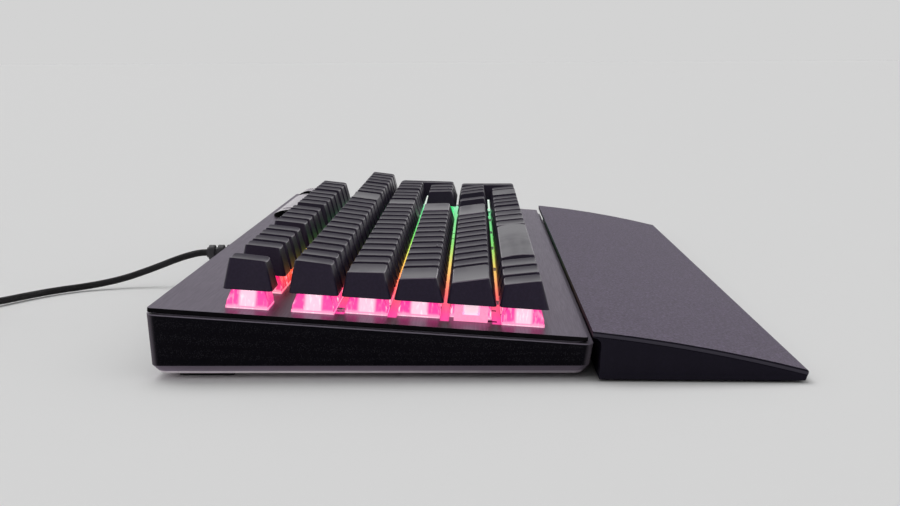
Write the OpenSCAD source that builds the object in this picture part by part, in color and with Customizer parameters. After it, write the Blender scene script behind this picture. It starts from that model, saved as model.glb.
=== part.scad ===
// Full-size mechanical keyboard: floating keycaps over clear switches on a flat
// metal plate, a drafted tray case, fold-out feet, a volume roller and a loose
// sloped wrist rest.
// X runs along the key rows with Escape at -X, Y runs from the typist to the
// back, Z is up.  The origin is the middle of the footprint at floor level.

/* [Keys] */
// Pitch of one key unit
key_u = 19.05; // [18.4:0.05:20]
// Space between the function row and the number row
function_row_gap = 4.76; // [3:0.01:12]
// Gap between the skirts of two neighbouring caps
cap_gap = 1.05; // [0.6:0.05:1.6]
// Height of the cap skirts over the plate
cap_base_z = 7; // [6:0.1:8]
// Draft of a cap's front face
cap_front_draft = 3.3; // [2:0.1:4]
// Draft of a cap's back face
cap_back_draft = 1.3; // [0.5:0.1:2]
// Draft of a cap's two side faces
cap_side_draft = 2.5; // [1.5:0.1:3]
// Corner cut of a cap at its skirt
cap_skirt_corner = 1.1; // [0.5:0.1:1.6]
// Corner cut of a cap at its top
cap_top_corner = 2; // [1:0.1:2.6]
// Wall of a cap's skirt
cap_wall = 1.2; // [1:0.1:1.3]
// Plastic left under a cap's dish
cap_roof = 1.2; // [0.8:0.1:1.6]
// Depth of the dish in a cap's top
dish_depth = 0.8; // [0.4:0.1:1.2]
// Rise of the space bar's crown
space_crown = 0.7; // [0.4:0.1:1.2]
// Cap heights of the bottom row, front then back
bottom_row_heights = [10.3, 8.1]; // [7:0.1:12]
// Cap heights of the shift row, front then back
shift_row_heights = [10.1, 7.5]; // [7:0.1:12]
// Cap heights of the home row, front then back
home_row_heights = [8.9, 7.7]; // [7:0.1:12]
// Cap heights of the tab row, front then back
tab_row_heights = [9.4, 8.8]; // [7:0.1:12]
// Cap heights of the number row, front then back
number_row_heights = [11.1, 11.9]; // [8:0.1:13]
// Cap heights of the function row, front then back
function_row_heights = [10.7, 11.3]; // [8:0.1:13]

/* [Switches] */
// How far a key travels
key_travel = 4; // [3:0.1:4]
// Width of a switch's clear upper housing
switch_top_w = 15.6; // [15:0.1:16]
// Height of the clear upper housing over the plate
switch_top_h = 6.6; // [6:0.1:6.8]
// Height at which the upper housing starts to taper
switch_taper_z = 2.4; // [2:0.1:2.6]
// Width of the upper housing at its top, along X
switch_crown_x = 10.2; // [9.4:0.1:11.4]
// Width of the upper housing at its top, along Y
switch_crown_y = 11; // [9:0.1:12]
// Flange of the lower housing that rests on the plate
switch_flange_t = 1; // [0.8:0.1:1.4]
// Width of the lower housing below the plate
switch_base_w = 13.9; // [13.4:0.1:14]
// Depth from the plate's top to the circuit board
switch_depth = 5; // [4.8:0.1:5.4]
// Width of a stem's slider along X
slider_x = 7; // [6.4:0.1:7.4]
// Width of a stem's slider along Y
slider_y = 5.3; // [5:0.1:5.6]
// Clearance round a slider
slider_gap = 0.4; // [0.3:0.05:0.6]
// Span of the cross that holds a cap
cross_span = 4; // [3.6:0.05:4.1]
// Thickness of the cross's arms
cross_t = 1.25; // [1:0.05:1.4]
// Height of the cross
cross_h = 3.6; // [3:0.1:3.8]
// Fit between the cross and the cap's socket
cross_fit = 0.04; // [0.02:0.01:0.1]
// Radius of a cap's socket post
post_r = 2.75; // [2.6:0.05:2.9]
// Radius of a switch's locating peg
peg_r = 2; // [1.9:0.05:2.2]
// Length of the locating peg below the circuit board's top
peg_l = 3.3; // [3:0.1:3.6]
// Outer radius of a switch spring
spring_r = 2; // [1.8:0.05:2.1]
// Thickness of the spring's winding
spring_wire = 0.3; // [0.2:0.05:0.4]

/* [Stabilizers] */
// Stem to stabilizer distance of a two-unit key
stabilizer_reach = 11.94; // [11.9:0.01:12.4]
// Stem to stabilizer distance of the space bar
space_reach = 50; // [45:1:54]
// Width of a stabilizer housing
stabilizer_w = 6.4; // [6:0.1:6.6]
// Depth of a stabilizer housing
stabilizer_d = 12.4; // [11:0.1:13]
// Height of a stabilizer housing over the plate
stabilizer_h = 5.6; // [5:0.1:6.2]
// Radius of the stabilizer wire
wire_r = 0.75; // [0.6:0.05:0.8]

/* [Plate] */
// Thickness of the metal plate
plate_t = 1.5; // [1.2:0.1:2]
// Plate beyond the keys at each end
plate_side_margin = 9.4; // [6:0.1:20]
// Plate in front of the keys
plate_front_margin = 13.2; // [9:0.1:24]
// Plate behind the keys
plate_back_margin = 24.5; // [22:0.1:40]
// Radius of the plate's corners
plate_corner_r = 1.6; // [0.8:0.1:4]
// Slope of the plate
deck_tilt = 4; // [2:0.5:6]
// Height of the plate's top at its front edge
deck_front_h = 15.4; // [15:0.1:20]
// Gap round a switch or stabilizer in its cut-out
cutout_gap = 0.05; // [0.02:0.01:0.1]
// Thickness of the circuit board
board_t = 1.6; // [1.2:0.1:2]
// Circuit board beyond the keys
board_margin = 2; // [0:0.5:4]

/* [Case] */
// Shadow gap between the plate and the case's rim
shadow_gap = 0.8; // [0.5:0.1:3]
// How far the case stands out past the plate at the back and ends
case_lip = 0.6; // [0.3:0.1:1.5]
// How far the case stands out past the plate at the front
case_front_lip = 2; // [0.6:0.1:2]
// Inward draft of the case walls
case_draft = 1.2; // [1:0.1:2.4]
// Height of the bevel round the case's bottom
bevel_h = 3.1; // [1.5:0.1:3.6]
// Width of the bevel round the case's bottom
bevel_w = 2.5; // [1.5:0.1:3]
// Radius of the case's upright corners
case_corner_r = 4; // [2:0.1:5]
// Wall of the case
case_wall = 3.2; // [2.6:0.1:3.6]
// Floor of the case
case_floor = 2; // [1.6:0.1:2.2]
// Thickness of the inner rib that carries the plate
rib_t = 1.2; // [1:0.1:1.4]
// Height of the rubber feet under the case
case_foot_h = 2.1; // [2:0.1:3.5]
// Radius of a screw boss
boss_r = 2.2; // [2:0.1:2.4]
// Radius of a screw's shank
screw_r = 1; // [0.8:0.05:1.2]
// Radius of a screw's head
screw_head_r = 1.5; // [1.4:0.05:1.6]
// Length of a screw's shank
screw_l = 7; // [5:0.5:9]

/* [Fold-out feet] */
// Length of a foot from its pivot to its tip
flip_l = 22; // [16:0.5:28]
// Width of a foot
flip_w = 34; // [24:1:44]
// Thickness of a foot
flip_t = 3.2; // [2.6:0.1:3.6]
// Distance from the keyboard's end to a foot's middle
flip_inset = 48; // [36:1:80]
// Radius of a foot's pivot pegs
pivot_r = 1.2; // [1:0.05:1.3]
// Radial clearance of the pivot pegs
pivot_fit = 0.08; // [0.04:0.01:0.1]

/* [Volume roller] */
// Distance from the plate's left edge to the strip's middle
strip_x = 372; // [300:1:376]
// Length of the raised strip
strip_l = 128; // [80:1:136]
// Width of the raised strip
strip_w = 17.6; // [16.8:0.1:18]
// Height of the strip's crown over the plate
strip_h = 4.4; // [3.6:0.1:5]
// Height of the strip's long edges over the plate
strip_edge_h = 1.2; // [0.8:0.1:2]
// Distance from the plate's back edge to the strip
strip_back = 3.3; // [3:0.1:4]
// Radius of the roller
roller_r = 7.4; // [7:0.1:7.6]
// Length of the roller
roller_l = 20; // [14:1:30]
// Height of the roller's axis over the plate
roller_z = -1.4; // [-1.8:0.1:-1.4]
// Length of the media button
button_l = 16; // [10:1:24]
// Travel of the media button
button_travel = 0.8; // [0.4:0.1:1]

/* [Wrist rest] */
// Depth of the rest from its back lip to its nose
rest_d = 75.4; // [55:0.5:95]
// Length of the rest at its back lip
rest_back_l = 452; // [380:1:500]
// Extra length at each end of the nose
rest_flare = 2.5; // [0:0.5:6]
// Height of the rest's back lip
rest_back_h = 18; // [17:0.5:24]
// Height of the rest's nose
rest_nose_h = 4.6; // [4:0.1:8]
// Radius of the top's long curve
rest_curve_r = 540; // [400:10:900]
// Undercut of the rest's back face below its lip
rest_undercut = 3; // [1.5:0.1:3.4]
// Gap between the rest's lip and the plate
rest_gap = 1.4; // [1.2:0.1:2]
// Thickness of the soft top skin
pad_t = 1.8; // [1:0.1:2.6]
// Height of the rubber strips under the rest
rest_foot_h = 0.8; // [0.4:0.1:1.5]

/* [Cord] */
// Diameter of the braided cord
cord_d = 3.4; // [3:0.1:3.8]
// Height of the cord's exit
exit_z = 17; // [13:0.5:17]
// Radius of the strain relief's ribs
relief_r = 4; // [3.6:0.1:4.2]
// Length of the strain relief outside the case
relief_l = 18; // [16:0.5:22]
// Pitch of the strain relief's ribs
relief_pitch = 4.6; // [4:0.1:5]
// Mean radius of the coil
coil_r = 20.4; // [18:0.1:24]
// Pitch of the coil's turns and layers
coil_pitch = 3.9; // [3.9:0.1:4.4]
// Turns in each layer of the coil
coil_turns = 3; // [2:1:4]
// Layers of the coil
coil_layers = 4; // [2:2:4]
// Width of the strap round the coil
tie_w = 8; // [5:0.5:12]
// Thickness of the strap
tie_t = 0.8; // [0.4:0.1:0.8]
// Length of the plug's grip
plug_l = 24; // [20:1:32]
// Width of the plug's grip
plug_w = 15; // [14:0.5:17]
// Length of the plug's metal shell
shell_l = 12; // [11:0.1:13]
// Width of the plug's metal shell
shell_w = 12; // [11.8:0.1:12.2]
// Height of the plug's metal shell
shell_h = 4.5; // [4.3:0.1:4.7]
// Thickness of the plug's contact tongue
tongue_t = 1.8; // [1.6:0.1:2]

/* [Hidden] */

$fn = 48;
sliver = 0.01;
reach_through = 60;
dish_fn = 720;

// A key is [left edge, row, width, height] in key units, rows counted from the typist
function run(left, row, count, w = 1) = [for (i = [0 : count - 1]) [left + i * w, row, w, 1]];
tall_row = 5;
letter_keys = concat(run(1.5, 3, 12), [[13.5, 3, 1.5, 1]], run(1.75, 2, 11), run(2.25, 1, 10));
number_keys = run(0, 4, 13);
function_keys = concat(run(2, tall_row, 4), run(6.5, tall_row, 4), run(11, tall_row, 4));
navigation_keys = concat(run(15.25, tall_row, 3), run(15.25, 4, 3), run(15.25, 3, 3),
    run(15.25, 0, 3), run(16.25, 1, 1));
pad_keys = concat(run(18.5, 4, 4), run(18.5, 3, 3), run(18.5, 2, 3), run(18.5, 1, 3),
    run(20.5, 0, 1));
modifier_keys = concat(run(0, 0, 3, 1.25), run(10, 0, 4, 1.25));
escape_key = run(0, tall_row, 1);
backspace_key = run(13, 4, 1, 2);
tab_key = run(0, 3, 1, 1.5);
caps_lock_key = run(0, 2, 1, 1.75);
enter_key = run(12.75, 2, 1, 2.25);
left_shift_key = run(0, 1, 1, 2.25);
right_shift_key = run(12.25, 1, 1, 2.75);
space_key = run(3.75, 0, 1, 6.25);
pad_zero_key = run(18.5, 0, 1, 2);
pad_tall_keys = [[21.5, 2, 1, 2], [21.5, 0, 1, 2]];
all_keys = concat(letter_keys, number_keys, function_keys, navigation_keys, pad_keys,
    modifier_keys, escape_key, backspace_key, tab_key, caps_lock_key, enter_key,
    left_shift_key, right_shift_key, space_key, pad_zero_key, pad_tall_keys);
wide_keys = [for (k = all_keys) if (max(k[2], k[3]) >= 2) k];

grid_w = 22.5 * key_u;
grid_d = 6 * key_u + function_row_gap;
function key_x(k) = (k[0] + k[2] / 2) * key_u;
function key_y(k) = (k[1] + k[3] / 2) * key_u + (k[1] == tall_row ? function_row_gap : 0);
function cap_w(k) = k[2] * key_u - cap_gap;
function cap_d(k) = k[3] * key_u - cap_gap;
row_heights = [bottom_row_heights, shift_row_heights, home_row_heights,
    tab_row_heights, number_row_heights, function_row_heights];
function is_space(k) = k[2] > 6;
function stem_reach(k) = is_space(k) ? space_reach : stabilizer_reach;
function stem_spots(k) = concat([[0, 0]], side_spots(k));
function side_spots(k) = k[2] >= 2 ? [[-stem_reach(k), 0], [stem_reach(k), 0]]
    : k[3] >= 2 ? [[0, -stem_reach(k)], [0, stem_reach(k)]] : [];

// The plate and the floor frame
plate_w = grid_w + 2 * plate_side_margin;
plate_d = grid_d + plate_front_margin + plate_back_margin;
deck_run = plate_d * cos(deck_tilt);
footprint_d = rest_d + rest_gap + deck_run + case_lip;
nose_y = -footprint_d / 2;
plate_y = nose_y + rest_d + rest_gap;
rim_drop = plate_t + shadow_gap;
case_front_y = plate_y - case_front_lip;
case_back_y = plate_y + deck_run + case_lip;
case_half_w = plate_w / 2 + case_lip;
// Distance along the plate of a floor-frame depth, for a level this far under the plate's top
function along_deck(y, drop) = (y - plate_y - drop * sin(deck_tilt)) / cos(deck_tilt);

// Places children on the plate: X and Y from its front left corner, Z from its top
module on_deck() {
    translate([-plate_w / 2, plate_y, deck_front_h]) rotate([deck_tilt, 0, 0]) children();
}

// Places children at the key grid's front left corner
module on_grid() {
    on_deck() translate([plate_side_margin, plate_front_margin, 0]) children();
}

// Repeats children at every key of a list
module at_keys(keys) {
    on_grid() for (k = keys) translate([key_x(k), key_y(k), 0]) children();
}

module rounded_rect(w, d, r) {
    translate([r, 0]) square([w - 2 * r, d]);
    translate([0, r]) square([w, d - 2 * r]);
    for (x = [r, w - r], y = [r, d - r]) translate([x, y]) circle(r);
}

// A prism lying down: its outline stands upright, with its first axis turned by angle
module upright(angle, length, points) {
    rotate([90, 0, angle]) linear_extrude(length, center = true) polygon(points);
}

module rod(a, b, r) {
    d = b - a;
    translate(a) rotate([0, acos(d[2] / norm(d)), atan2(d[1], d[0])]) cylinder(h = norm(d), r = r);
}

// ---- Keycaps -------------------------------------------------------------

// Height of a cap's top plane over its skirt at depth y
function cap_top_z(k, y) = let (h = row_heights[k[1]], front = -cap_d(k) / 2 + cap_front_draft,
    back = cap_d(k) / 2 - cap_back_draft)
    h[0] + (h[1] - h[0]) * (y - front) / (back - front);
function cap_mid_y() = (cap_front_draft - cap_back_draft) / 2;
function cap_slope(k) = let (h = row_heights[k[1]])
    atan((h[1] - h[0]) / (cap_d(k) - cap_front_draft - cap_back_draft));

module cap_block(k, inset, drop, crown = 0) {
    w = cap_w(k) / 2 - inset;
    d = cap_d(k) / 2 - inset;
    h = row_heights[k[1]];
    peak = max(h) + crown;
    top_w = w - cap_side_draft;
    intersection() {
        upright(90, 2 * w + 1, [[-d, 0], [d, 0], [d - cap_back_draft, h[1] - drop + crown],
            [-d + cap_front_draft, h[0] - drop + crown]]);
        upright(0, 2 * d + 1, [[-w, 0], [w, 0], [top_w, peak], [-top_w, peak]]);
    }
}

// Cuts the four upright edges of a cap
module cap_corners(k, peak) {
    w = cap_w(k) / 2;
    d = cap_d(k) / 2;
    foot = (w + d - cap_skirt_corner) / sqrt(2);
    head = (w + d - cap_side_draft - (cap_front_draft + cap_back_draft) / 2 - cap_top_corner)
        / sqrt(2);
    shift = cap_mid_y() / sqrt(2);
    intersection_for (angle = [45, 135])
        upright(angle, 2 * (w + d), [[-foot, 0], [foot, 0], [head + shift, peak],
            [-head + shift, peak]]);
}

module cap_dish(k) {
    half_w = cap_w(k) / 2 - cap_side_draft;
    r = (half_w * half_w + dish_depth * dish_depth) / (2 * dish_depth);
    translate([0, cap_mid_y(), cap_top_z(k, cap_mid_y())]) rotate([cap_slope(k), 0, 0])
        translate([0, 0, r - dish_depth]) rotate([90, 0, 0])
            cylinder(h = 2 * cap_d(k), r = r, center = true, $fn = dish_fn);
}

module cap_crown(k) {
    half_d = (cap_d(k) - cap_front_draft - cap_back_draft) / 2;
    r = (half_d * half_d + space_crown * space_crown) / (2 * space_crown);
    translate([0, cap_mid_y(), cap_top_z(k, cap_mid_y())]) rotate([cap_slope(k), 0, 0])
        translate([0, 0, space_crown - r]) rotate([0, 90, 0])
            cylinder(h = cap_w(k) + 1, r = r, center = true, $fn = dish_fn);
}

shoulder_rise = 0.2;
shoulder_z = switch_top_h + shoulder_rise;
socket_play = 0.3;
socket_depth = cross_h + socket_play;
socket_bite = 0.5;

module cap_socket(k, spot) {
    foot = shoulder_z - cap_base_z;
    ceiling = cap_top_z(k, spot[1]) - cap_roof - dish_depth;
    translate([spot[0], spot[1], foot]) difference() {
        cylinder(h = ceiling - foot + socket_bite, r = post_r);
        for (turn = [0, 90]) rotate([0, 0, turn]) translate([0, 0, (socket_depth - 1) / 2])
            cube([cross_span + 2 * cross_fit, cross_t + 2 * cross_fit, socket_depth + 1],
                center = true);
    }
}

module keycap(k) {
    crown = is_space(k) ? space_crown : 0;
    peak = max(row_heights[k[1]]) + crown;
    translate([0, 0, cap_base_z]) {
        difference() {
            intersection() {
                cap_block(k, 0, 0, crown);
                cap_corners(k, peak);
                if (is_space(k)) cap_crown(k);
            }
            if (!is_space(k)) cap_dish(k);
            translate([0, 0, -sliver]) cap_block(k, cap_wall, cap_roof + dish_depth);
        }
        for (spot = stem_spots(k)) cap_socket(k, spot);
    }
}

module caps(keys, tint = "#26262b") {
    color(tint) on_grid() for (k = keys) translate([key_x(k), key_y(k), 0]) keycap(k);
}

// ---- Switch stems --------------------------------------------------------

recess_h = 3.5;
slider_foot_z = 0.6;
spring_fit = 0.15;
stem_peg_r = 1.1;
stem_peg_l = 3.8;

module cap_cross(z) {
    for (turn = [0, 90]) rotate([0, 0, turn]) translate([-cross_span / 2, -cross_t / 2, z])
        cube([cross_span, cross_t, cross_h]);
}

module switch_stem() {
    difference() {
        translate([-slider_x / 2, -slider_y / 2, slider_foot_z])
            cube([slider_x, slider_y, shoulder_z - slider_foot_z]);
        translate([0, 0, slider_foot_z - 1])
            cylinder(h = recess_h + 1, r = spring_r + spring_fit);
    }
    translate([0, 0, slider_foot_z - stem_peg_l])
        cylinder(h = stem_peg_l + recess_h + sliver, r = stem_peg_r);
    cap_cross(shoulder_z - sliver);
}

stab_slider_x = 4.2;
stab_slider_y = 4.8;
stab_foot_z = -0.5;
wire_tip_z = 0.4;
wire_play = 0.3;

module stabilizer_stem() {
    slot_h = wire_tip_z - stab_foot_z + wire_r + wire_play;
    difference() {
        translate([-stab_slider_x / 2, -stab_slider_y / 2, stab_foot_z])
            cube([stab_slider_x, stab_slider_y, shoulder_z - stab_foot_z]);
        translate([-wire_r - wire_play, -stab_slider_y / 2 - 1, stab_foot_z - 1])
            cube([2 * (wire_r + wire_play), stab_slider_y / 2 + 1, slot_h + 1]);
    }
    cap_cross(shoulder_z - sliver);
}

// Turns a tall key's stabilizer parts so that their long side crosses the key
function spot_turn(k) = k[3] >= 2 ? 90 : 0;

module stems(keys, tint = "#d8d8dc") {
    color(tint) on_grid() for (k = keys) translate([key_x(k), key_y(k), 0]) {
        switch_stem();
        for (spot = side_spots(k)) translate(spot) rotate([0, 0, spot_turn(k)]) stabilizer_stem();
    }
}

// ---- Switch housings -----------------------------------------------------

module switch_top() {
    half = switch_top_w / 2;
    difference() {
        intersection() {
            upright(0, switch_top_w, [[-half, switch_flange_t], [half, switch_flange_t],
                [half, switch_taper_z], [switch_crown_x / 2, switch_top_h],
                [-switch_crown_x / 2, switch_top_h], [-half, switch_taper_z]]);
            upright(90, switch_top_w, [[-half, switch_flange_t], [half, switch_flange_t],
                [half, switch_taper_z], [switch_crown_y / 2, switch_top_h],
                [-switch_crown_y / 2, switch_top_h], [-half, switch_taper_z]]);
        }
        cube([slider_x + 2 * slider_gap, slider_y + 2 * slider_gap, reach_through], center = true);
    }
}

module switch_tops() {
    color("#f2dcec", 0.5) at_keys(all_keys) switch_top();
}

led_x = 4.6;
led_y = 2;
led_h = 1.6;
led_offset = 5;
led_fit = 0.2;
seat_t = 1;
seat_z = seat_t - switch_depth;
peg_bore_r = 1.5;
peg_floor = 0.7;

module switch_base() {
    difference() {
        union() {
            translate([-switch_base_w / 2, -switch_base_w / 2, -switch_depth])
                cube([switch_base_w, switch_base_w, switch_depth]);
            translate([-switch_top_w / 2, -switch_top_w / 2, 0])
                cube([switch_top_w, switch_top_w, switch_flange_t]);
            translate([0, 0, -switch_depth - peg_l]) cylinder(h = peg_l + 1, r = peg_r);
        }
        translate([-slider_x / 2 - slider_gap, -slider_y / 2 - slider_gap, seat_z])
            cube([slider_x + 2 * slider_gap, slider_y + 2 * slider_gap, switch_depth + 1]);
        translate([0, 0, peg_floor - switch_depth - peg_l])
            cylinder(h = peg_l + 1, r = peg_bore_r);
        translate([-led_x / 2 - led_fit, led_offset - led_y / 2 - led_fit, -switch_depth - 1])
            cube([led_x + 2 * led_fit, led_y + 2 * led_fit, switch_depth + switch_flange_t + 2]);
    }
}

module switch_bases() {
    color("#1c1c20") at_keys(all_keys) switch_base();
}

module switch_leds() {
    color("#ff3ca0") at_keys(all_keys) translate([-led_x / 2, led_offset - led_y / 2, -switch_depth])
        cube([led_x, led_y, led_h]);
}

module switch_springs() {
    color("silver") at_keys(all_keys) translate([0, 0, seat_z]) difference() {
        cylinder(h = slider_foot_z + recess_h - seat_z, r = spring_r);
        translate([0, 0, -1]) cylinder(h = reach_through, r = spring_r - spring_wire);
    }
}

// ---- Stabilizers ---------------------------------------------------------

stab_gap = 0.4;
post_gap = 0.35;
wire_y = -8.5;
wire_drop = 1.1;
wire_z = -plate_t - wire_drop;
slot_play = 0.4;
wire_slot = 2 * (wire_r + slot_play);
wire_head = 0.5;
wire_bite = 1.2;

module stabilizer_housing() {
    difference() {
        translate([-stabilizer_w / 2, -stabilizer_d / 2, -switch_depth])
            cube([stabilizer_w, stabilizer_d, switch_depth + stabilizer_h]);
        cube([stab_slider_x + 2 * stab_gap, stab_slider_y + 2 * stab_gap, reach_through],
            center = true);
        translate([-stabilizer_w, -post_r - post_gap, shoulder_z - key_travel - post_gap])
            cube([2 * stabilizer_w, 2 * (post_r + post_gap), stabilizer_h]);
        translate([-wire_slot / 2, -stabilizer_d, -switch_depth - 1])
            cube([wire_slot, stabilizer_d, switch_depth + 1 + wire_tip_z + wire_r + wire_head]);
    }
}

module stabilizer_housings() {
    color("#202024") on_grid() for (k = wide_keys, spot = side_spots(k))
        translate([key_x(k) + spot[0], key_y(k) + spot[1], 0]) rotate([0, 0, spot_turn(k)])
            stabilizer_housing();
}

module stabilizer_wire(reach) {
    tip_y = wire_bite - stab_slider_y / 2;
    rod([-reach, wire_y, wire_z], [reach, wire_y, wire_z], wire_r);
    for (x = [-reach, reach]) {
        translate([x, wire_y, wire_z]) sphere(wire_r);
        rod([x, wire_y, wire_z], [x, tip_y, wire_tip_z], wire_r);
    }
}

module stabilizer_wires() {
    color("#c8c8cc") on_grid() for (k = wide_keys)
        translate([key_x(k), key_y(k), 0]) rotate([0, 0, spot_turn(k)])
            stabilizer_wire(stem_reach(k));
}

// ---- Plate, board and case -----------------------------------------------

// Screw places in key units, all between two rows of switches
screw_spots = [[0.5, 4], [5, 4], [10, 4], [15.1, 4], [18.4, 4], [22, 4],
    [2.6, 1], [7.5, 1], [11.5, 1], [15.1, 1], [18.4, 1], [20.9, 1]];

module at_screws() {
    on_grid() for (spot = screw_spots) translate([spot[0] * key_u, spot[1] * key_u, 0]) children();
}

module plate_cutouts() {
    hole = switch_base_w + 2 * cutout_gap;
    translate([plate_side_margin, plate_front_margin]) {
        for (k = all_keys) translate([key_x(k), key_y(k)]) square(hole, center = true);
        for (k = wide_keys, spot = side_spots(k))
            translate([key_x(k) + spot[0], key_y(k) + spot[1]]) rotate(spot_turn(k)) {
                square([stabilizer_w + 2 * cutout_gap, stabilizer_d + 2 * cutout_gap], center = true);
                translate([-wire_slot / 2, wire_y - wire_r - slot_play])
                    square([wire_slot, -wire_y]);
            }
        for (spot = screw_spots) translate([spot[0] * key_u, spot[1] * key_u])
            circle(screw_r + cutout_gap);
    }
    translate([strip_x, strip_mid_y]) strip_window();
}

module top_plate() {
    color("#3a3740") on_deck() translate([0, 0, -plate_t]) linear_extrude(plate_t) difference() {
        rounded_rect(plate_w, plate_d, plate_corner_r);
        plate_cutouts();
    }
}

boss_gap = 0.3;

module circuit_board() {
    color("#10301c") on_grid() translate([0, 0, -switch_depth - board_t]) linear_extrude(board_t)
        difference() {
            translate([-board_margin, -board_margin])
                square([grid_w + 2 * board_margin, grid_d + 2 * board_margin]);
            for (k = all_keys) translate([key_x(k), key_y(k)]) circle(peg_r + cutout_gap);
            for (spot = screw_spots) translate([spot[0] * key_u, spot[1] * key_u])
                circle(boss_r + boss_gap);
        }
}

// Level slab of the case's plan, drawn in by inset, at height z
module case_level(inset, z) {
    translate([-case_half_w + inset, case_front_y + inset, z]) linear_extrude(sliver)
        rounded_rect(2 * (case_half_w - inset), case_back_y - case_front_y - 2 * inset,
            case_corner_r);
}

// Sloped slab of the case's plan, drawn in by inset, this far under the plate's top
module case_slope(inset, drop) {
    front = along_deck(case_front_y + inset, drop);
    back = along_deck(case_back_y - inset, drop);
    on_deck() translate([-case_lip + inset, front, -drop - sliver]) linear_extrude(sliver)
        rounded_rect(plate_w + 2 * case_lip - 2 * inset, back - front, case_corner_r);
}

module case_body() {
    hull() {
        case_level(case_draft + bevel_w, case_foot_h);
        case_level(case_draft, case_foot_h + bevel_h);
        case_slope(0, rim_drop);
    }
}

module case_cavity() {
    hull() {
        case_level(case_draft + case_wall, case_foot_h + case_floor);
        case_slope(case_wall, plate_t);
    }
}

rib_root = 1;
rib_bite = 0.2;

// Inner rib that rises over the rim and carries the plate
module case_rib() {
    out = case_wall - rib_t - case_lip;
    front = case_wall - case_front_lip - rib_bite;
    inner = out + rib_t;
    on_deck() translate([0, 0, -rim_drop - rib_root]) linear_extrude(shadow_gap + rib_root)
        difference() {
            translate([out, front]) rounded_rect(plate_w - 2 * out, plate_d - out - front,
                case_corner_r);
            translate([inner, inner])
                rounded_rect(plate_w - 2 * inner, plate_d - 2 * inner, case_corner_r);
        }
}

pocket_play = 0.6;
flip_pocket_h = flip_t + pocket_play;
pivot_z = case_foot_h + pocket_play / 2 + flip_t / 2;
pivot_inset = 6;
pivot_y = case_back_y - case_draft - bevel_w - pivot_inset;
flip_side_gap = 0.4;
flip_half_w = flip_w / 2;
flip_xs = [-case_half_w + flip_inset, case_half_w - flip_inset];
tip_l = 2.4;
pocket_front = 2.6;
heel_gap = 0.8;
pocket_wall = 3;
pocket_roof = 2;
peg_reach = 1.7;
peg_socket = 2;
exit_bore_l = 20;
exit_bore_fit = 0.1;

module flip_pocket(x, grow, roof) {
    inner_l = flip_l + pocket_front + flip_t / 2 + heel_gap;
    translate([x - flip_half_w - flip_side_gap - grow, pivot_y - flip_l - pocket_front - grow,
        case_foot_h - 1])
        cube([flip_w + 2 * (flip_side_gap + grow), inner_l + 2 * grow, flip_pocket_h + 1 + roof]);
}

module bottom_case() {
    color("#17171a") difference() {
        union() {
            difference() {
                case_body();
                case_cavity();
            }
            case_rib();
            intersection() {
                case_body();
                for (x = flip_xs) flip_pocket(x, pocket_wall, pocket_roof);
            }
            intersection() {
                at_screws() translate([0, 0, -reach_through])
                    cylinder(h = reach_through - plate_t, r = boss_r);
                union() {
                    case_body();
                    case_cavity();
                }
            }
        }
        at_screws() translate([0, 0, -plate_t - screw_l])
            cylinder(h = screw_l + 1, r = screw_r + cutout_gap);
        for (x = flip_xs) {
            flip_pocket(x, 0, 0);
            translate([x, pivot_y, pivot_z]) rotate([0, 90, 0])
                cylinder(h = flip_w + 2 * peg_socket, r = pivot_r + pivot_fit, center = true);
        }
        translate([0, case_back_y - exit_bore_l / 2, exit_z]) rotate([-90, 0, 0])
            cylinder(h = exit_bore_l, r = neck_r + exit_bore_fit);
    }
}

screw_head_h = 1.2;
screw_end_gap = 1;
// Length, width and height of the cutter for one arm of a screw's cross
screw_slot = [1.8, 0.4, 1];

module case_screws() {
    shank = plate_t + screw_l - screw_end_gap;
    color("#8a8a90") at_screws() {
        translate([0, 0, -shank]) cylinder(h = shank, r = screw_r);
        difference() {
            cylinder(h = screw_head_h, r = screw_head_r);
            for (turn = [0, 90]) rotate([0, 0, turn]) translate([0, 0, screw_head_h])
                cube(screw_slot, center = true);
        }
    }
}

case_pad_w = 40;
case_pad_d = 8;
pad_edge = 6;
pad_corner_r = 2;

module case_feet() {
    inset = case_draft + bevel_w + pad_edge;
    front = case_front_y + inset;
    color("#0c0c0d") {
        for (x = flip_xs) translate([x - case_pad_w / 2, front, 0])
            linear_extrude(case_foot_h) rounded_rect(case_pad_w, case_pad_d, pad_corner_r);
        for (side = [-1, 1])
            translate([side * (case_half_w - inset - case_pad_d / 2) - case_pad_d / 2,
                case_back_y - inset - case_pad_w / 2, 0])
                linear_extrude(case_foot_h) rounded_rect(case_pad_d, case_pad_w / 2, pad_corner_r);
    }
}

// ---- Fold-out feet -------------------------------------------------------

blade_rim = 4;
blade_root = 6;
blade_web = 2.2;

module foot_blade(x) {
    blade_l = flip_l - tip_l;
    translate([x, pivot_y, pivot_z]) {
        rotate([0, 90, 0]) cylinder(h = flip_w, r = flip_t / 2, center = true);
        rotate([0, 90, 0]) cylinder(h = flip_w + 2 * peg_reach, r = pivot_r, center = true);
        difference() {
            translate([-flip_half_w, -blade_l, -flip_t / 2]) cube([flip_w, blade_l, flip_t]);
            translate([-flip_half_w + blade_rim, -blade_l + blade_rim, flip_t / 2 - blade_web - flip_t])
                cube([flip_w - 2 * blade_rim, blade_l - blade_rim - blade_root, flip_t]);
        }
    }
}

module foot_tip(x) {
    color("#0c0c0d") translate([x - flip_half_w, pivot_y - flip_l, pivot_z - flip_t / 2])
        cube([flip_w, tip_l, flip_t]);
}

module left_foot() {
    color("#1c1c20") foot_blade(flip_xs[0]);
}

module left_foot_tip() {
    foot_tip(flip_xs[0]);
}

module right_foot() {
    color("#1c1c20") foot_blade(flip_xs[1]);
}

module right_foot_tip() {
    foot_tip(flip_xs[1]);
}

// ---- Media strip, roller and button --------------------------------------

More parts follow.
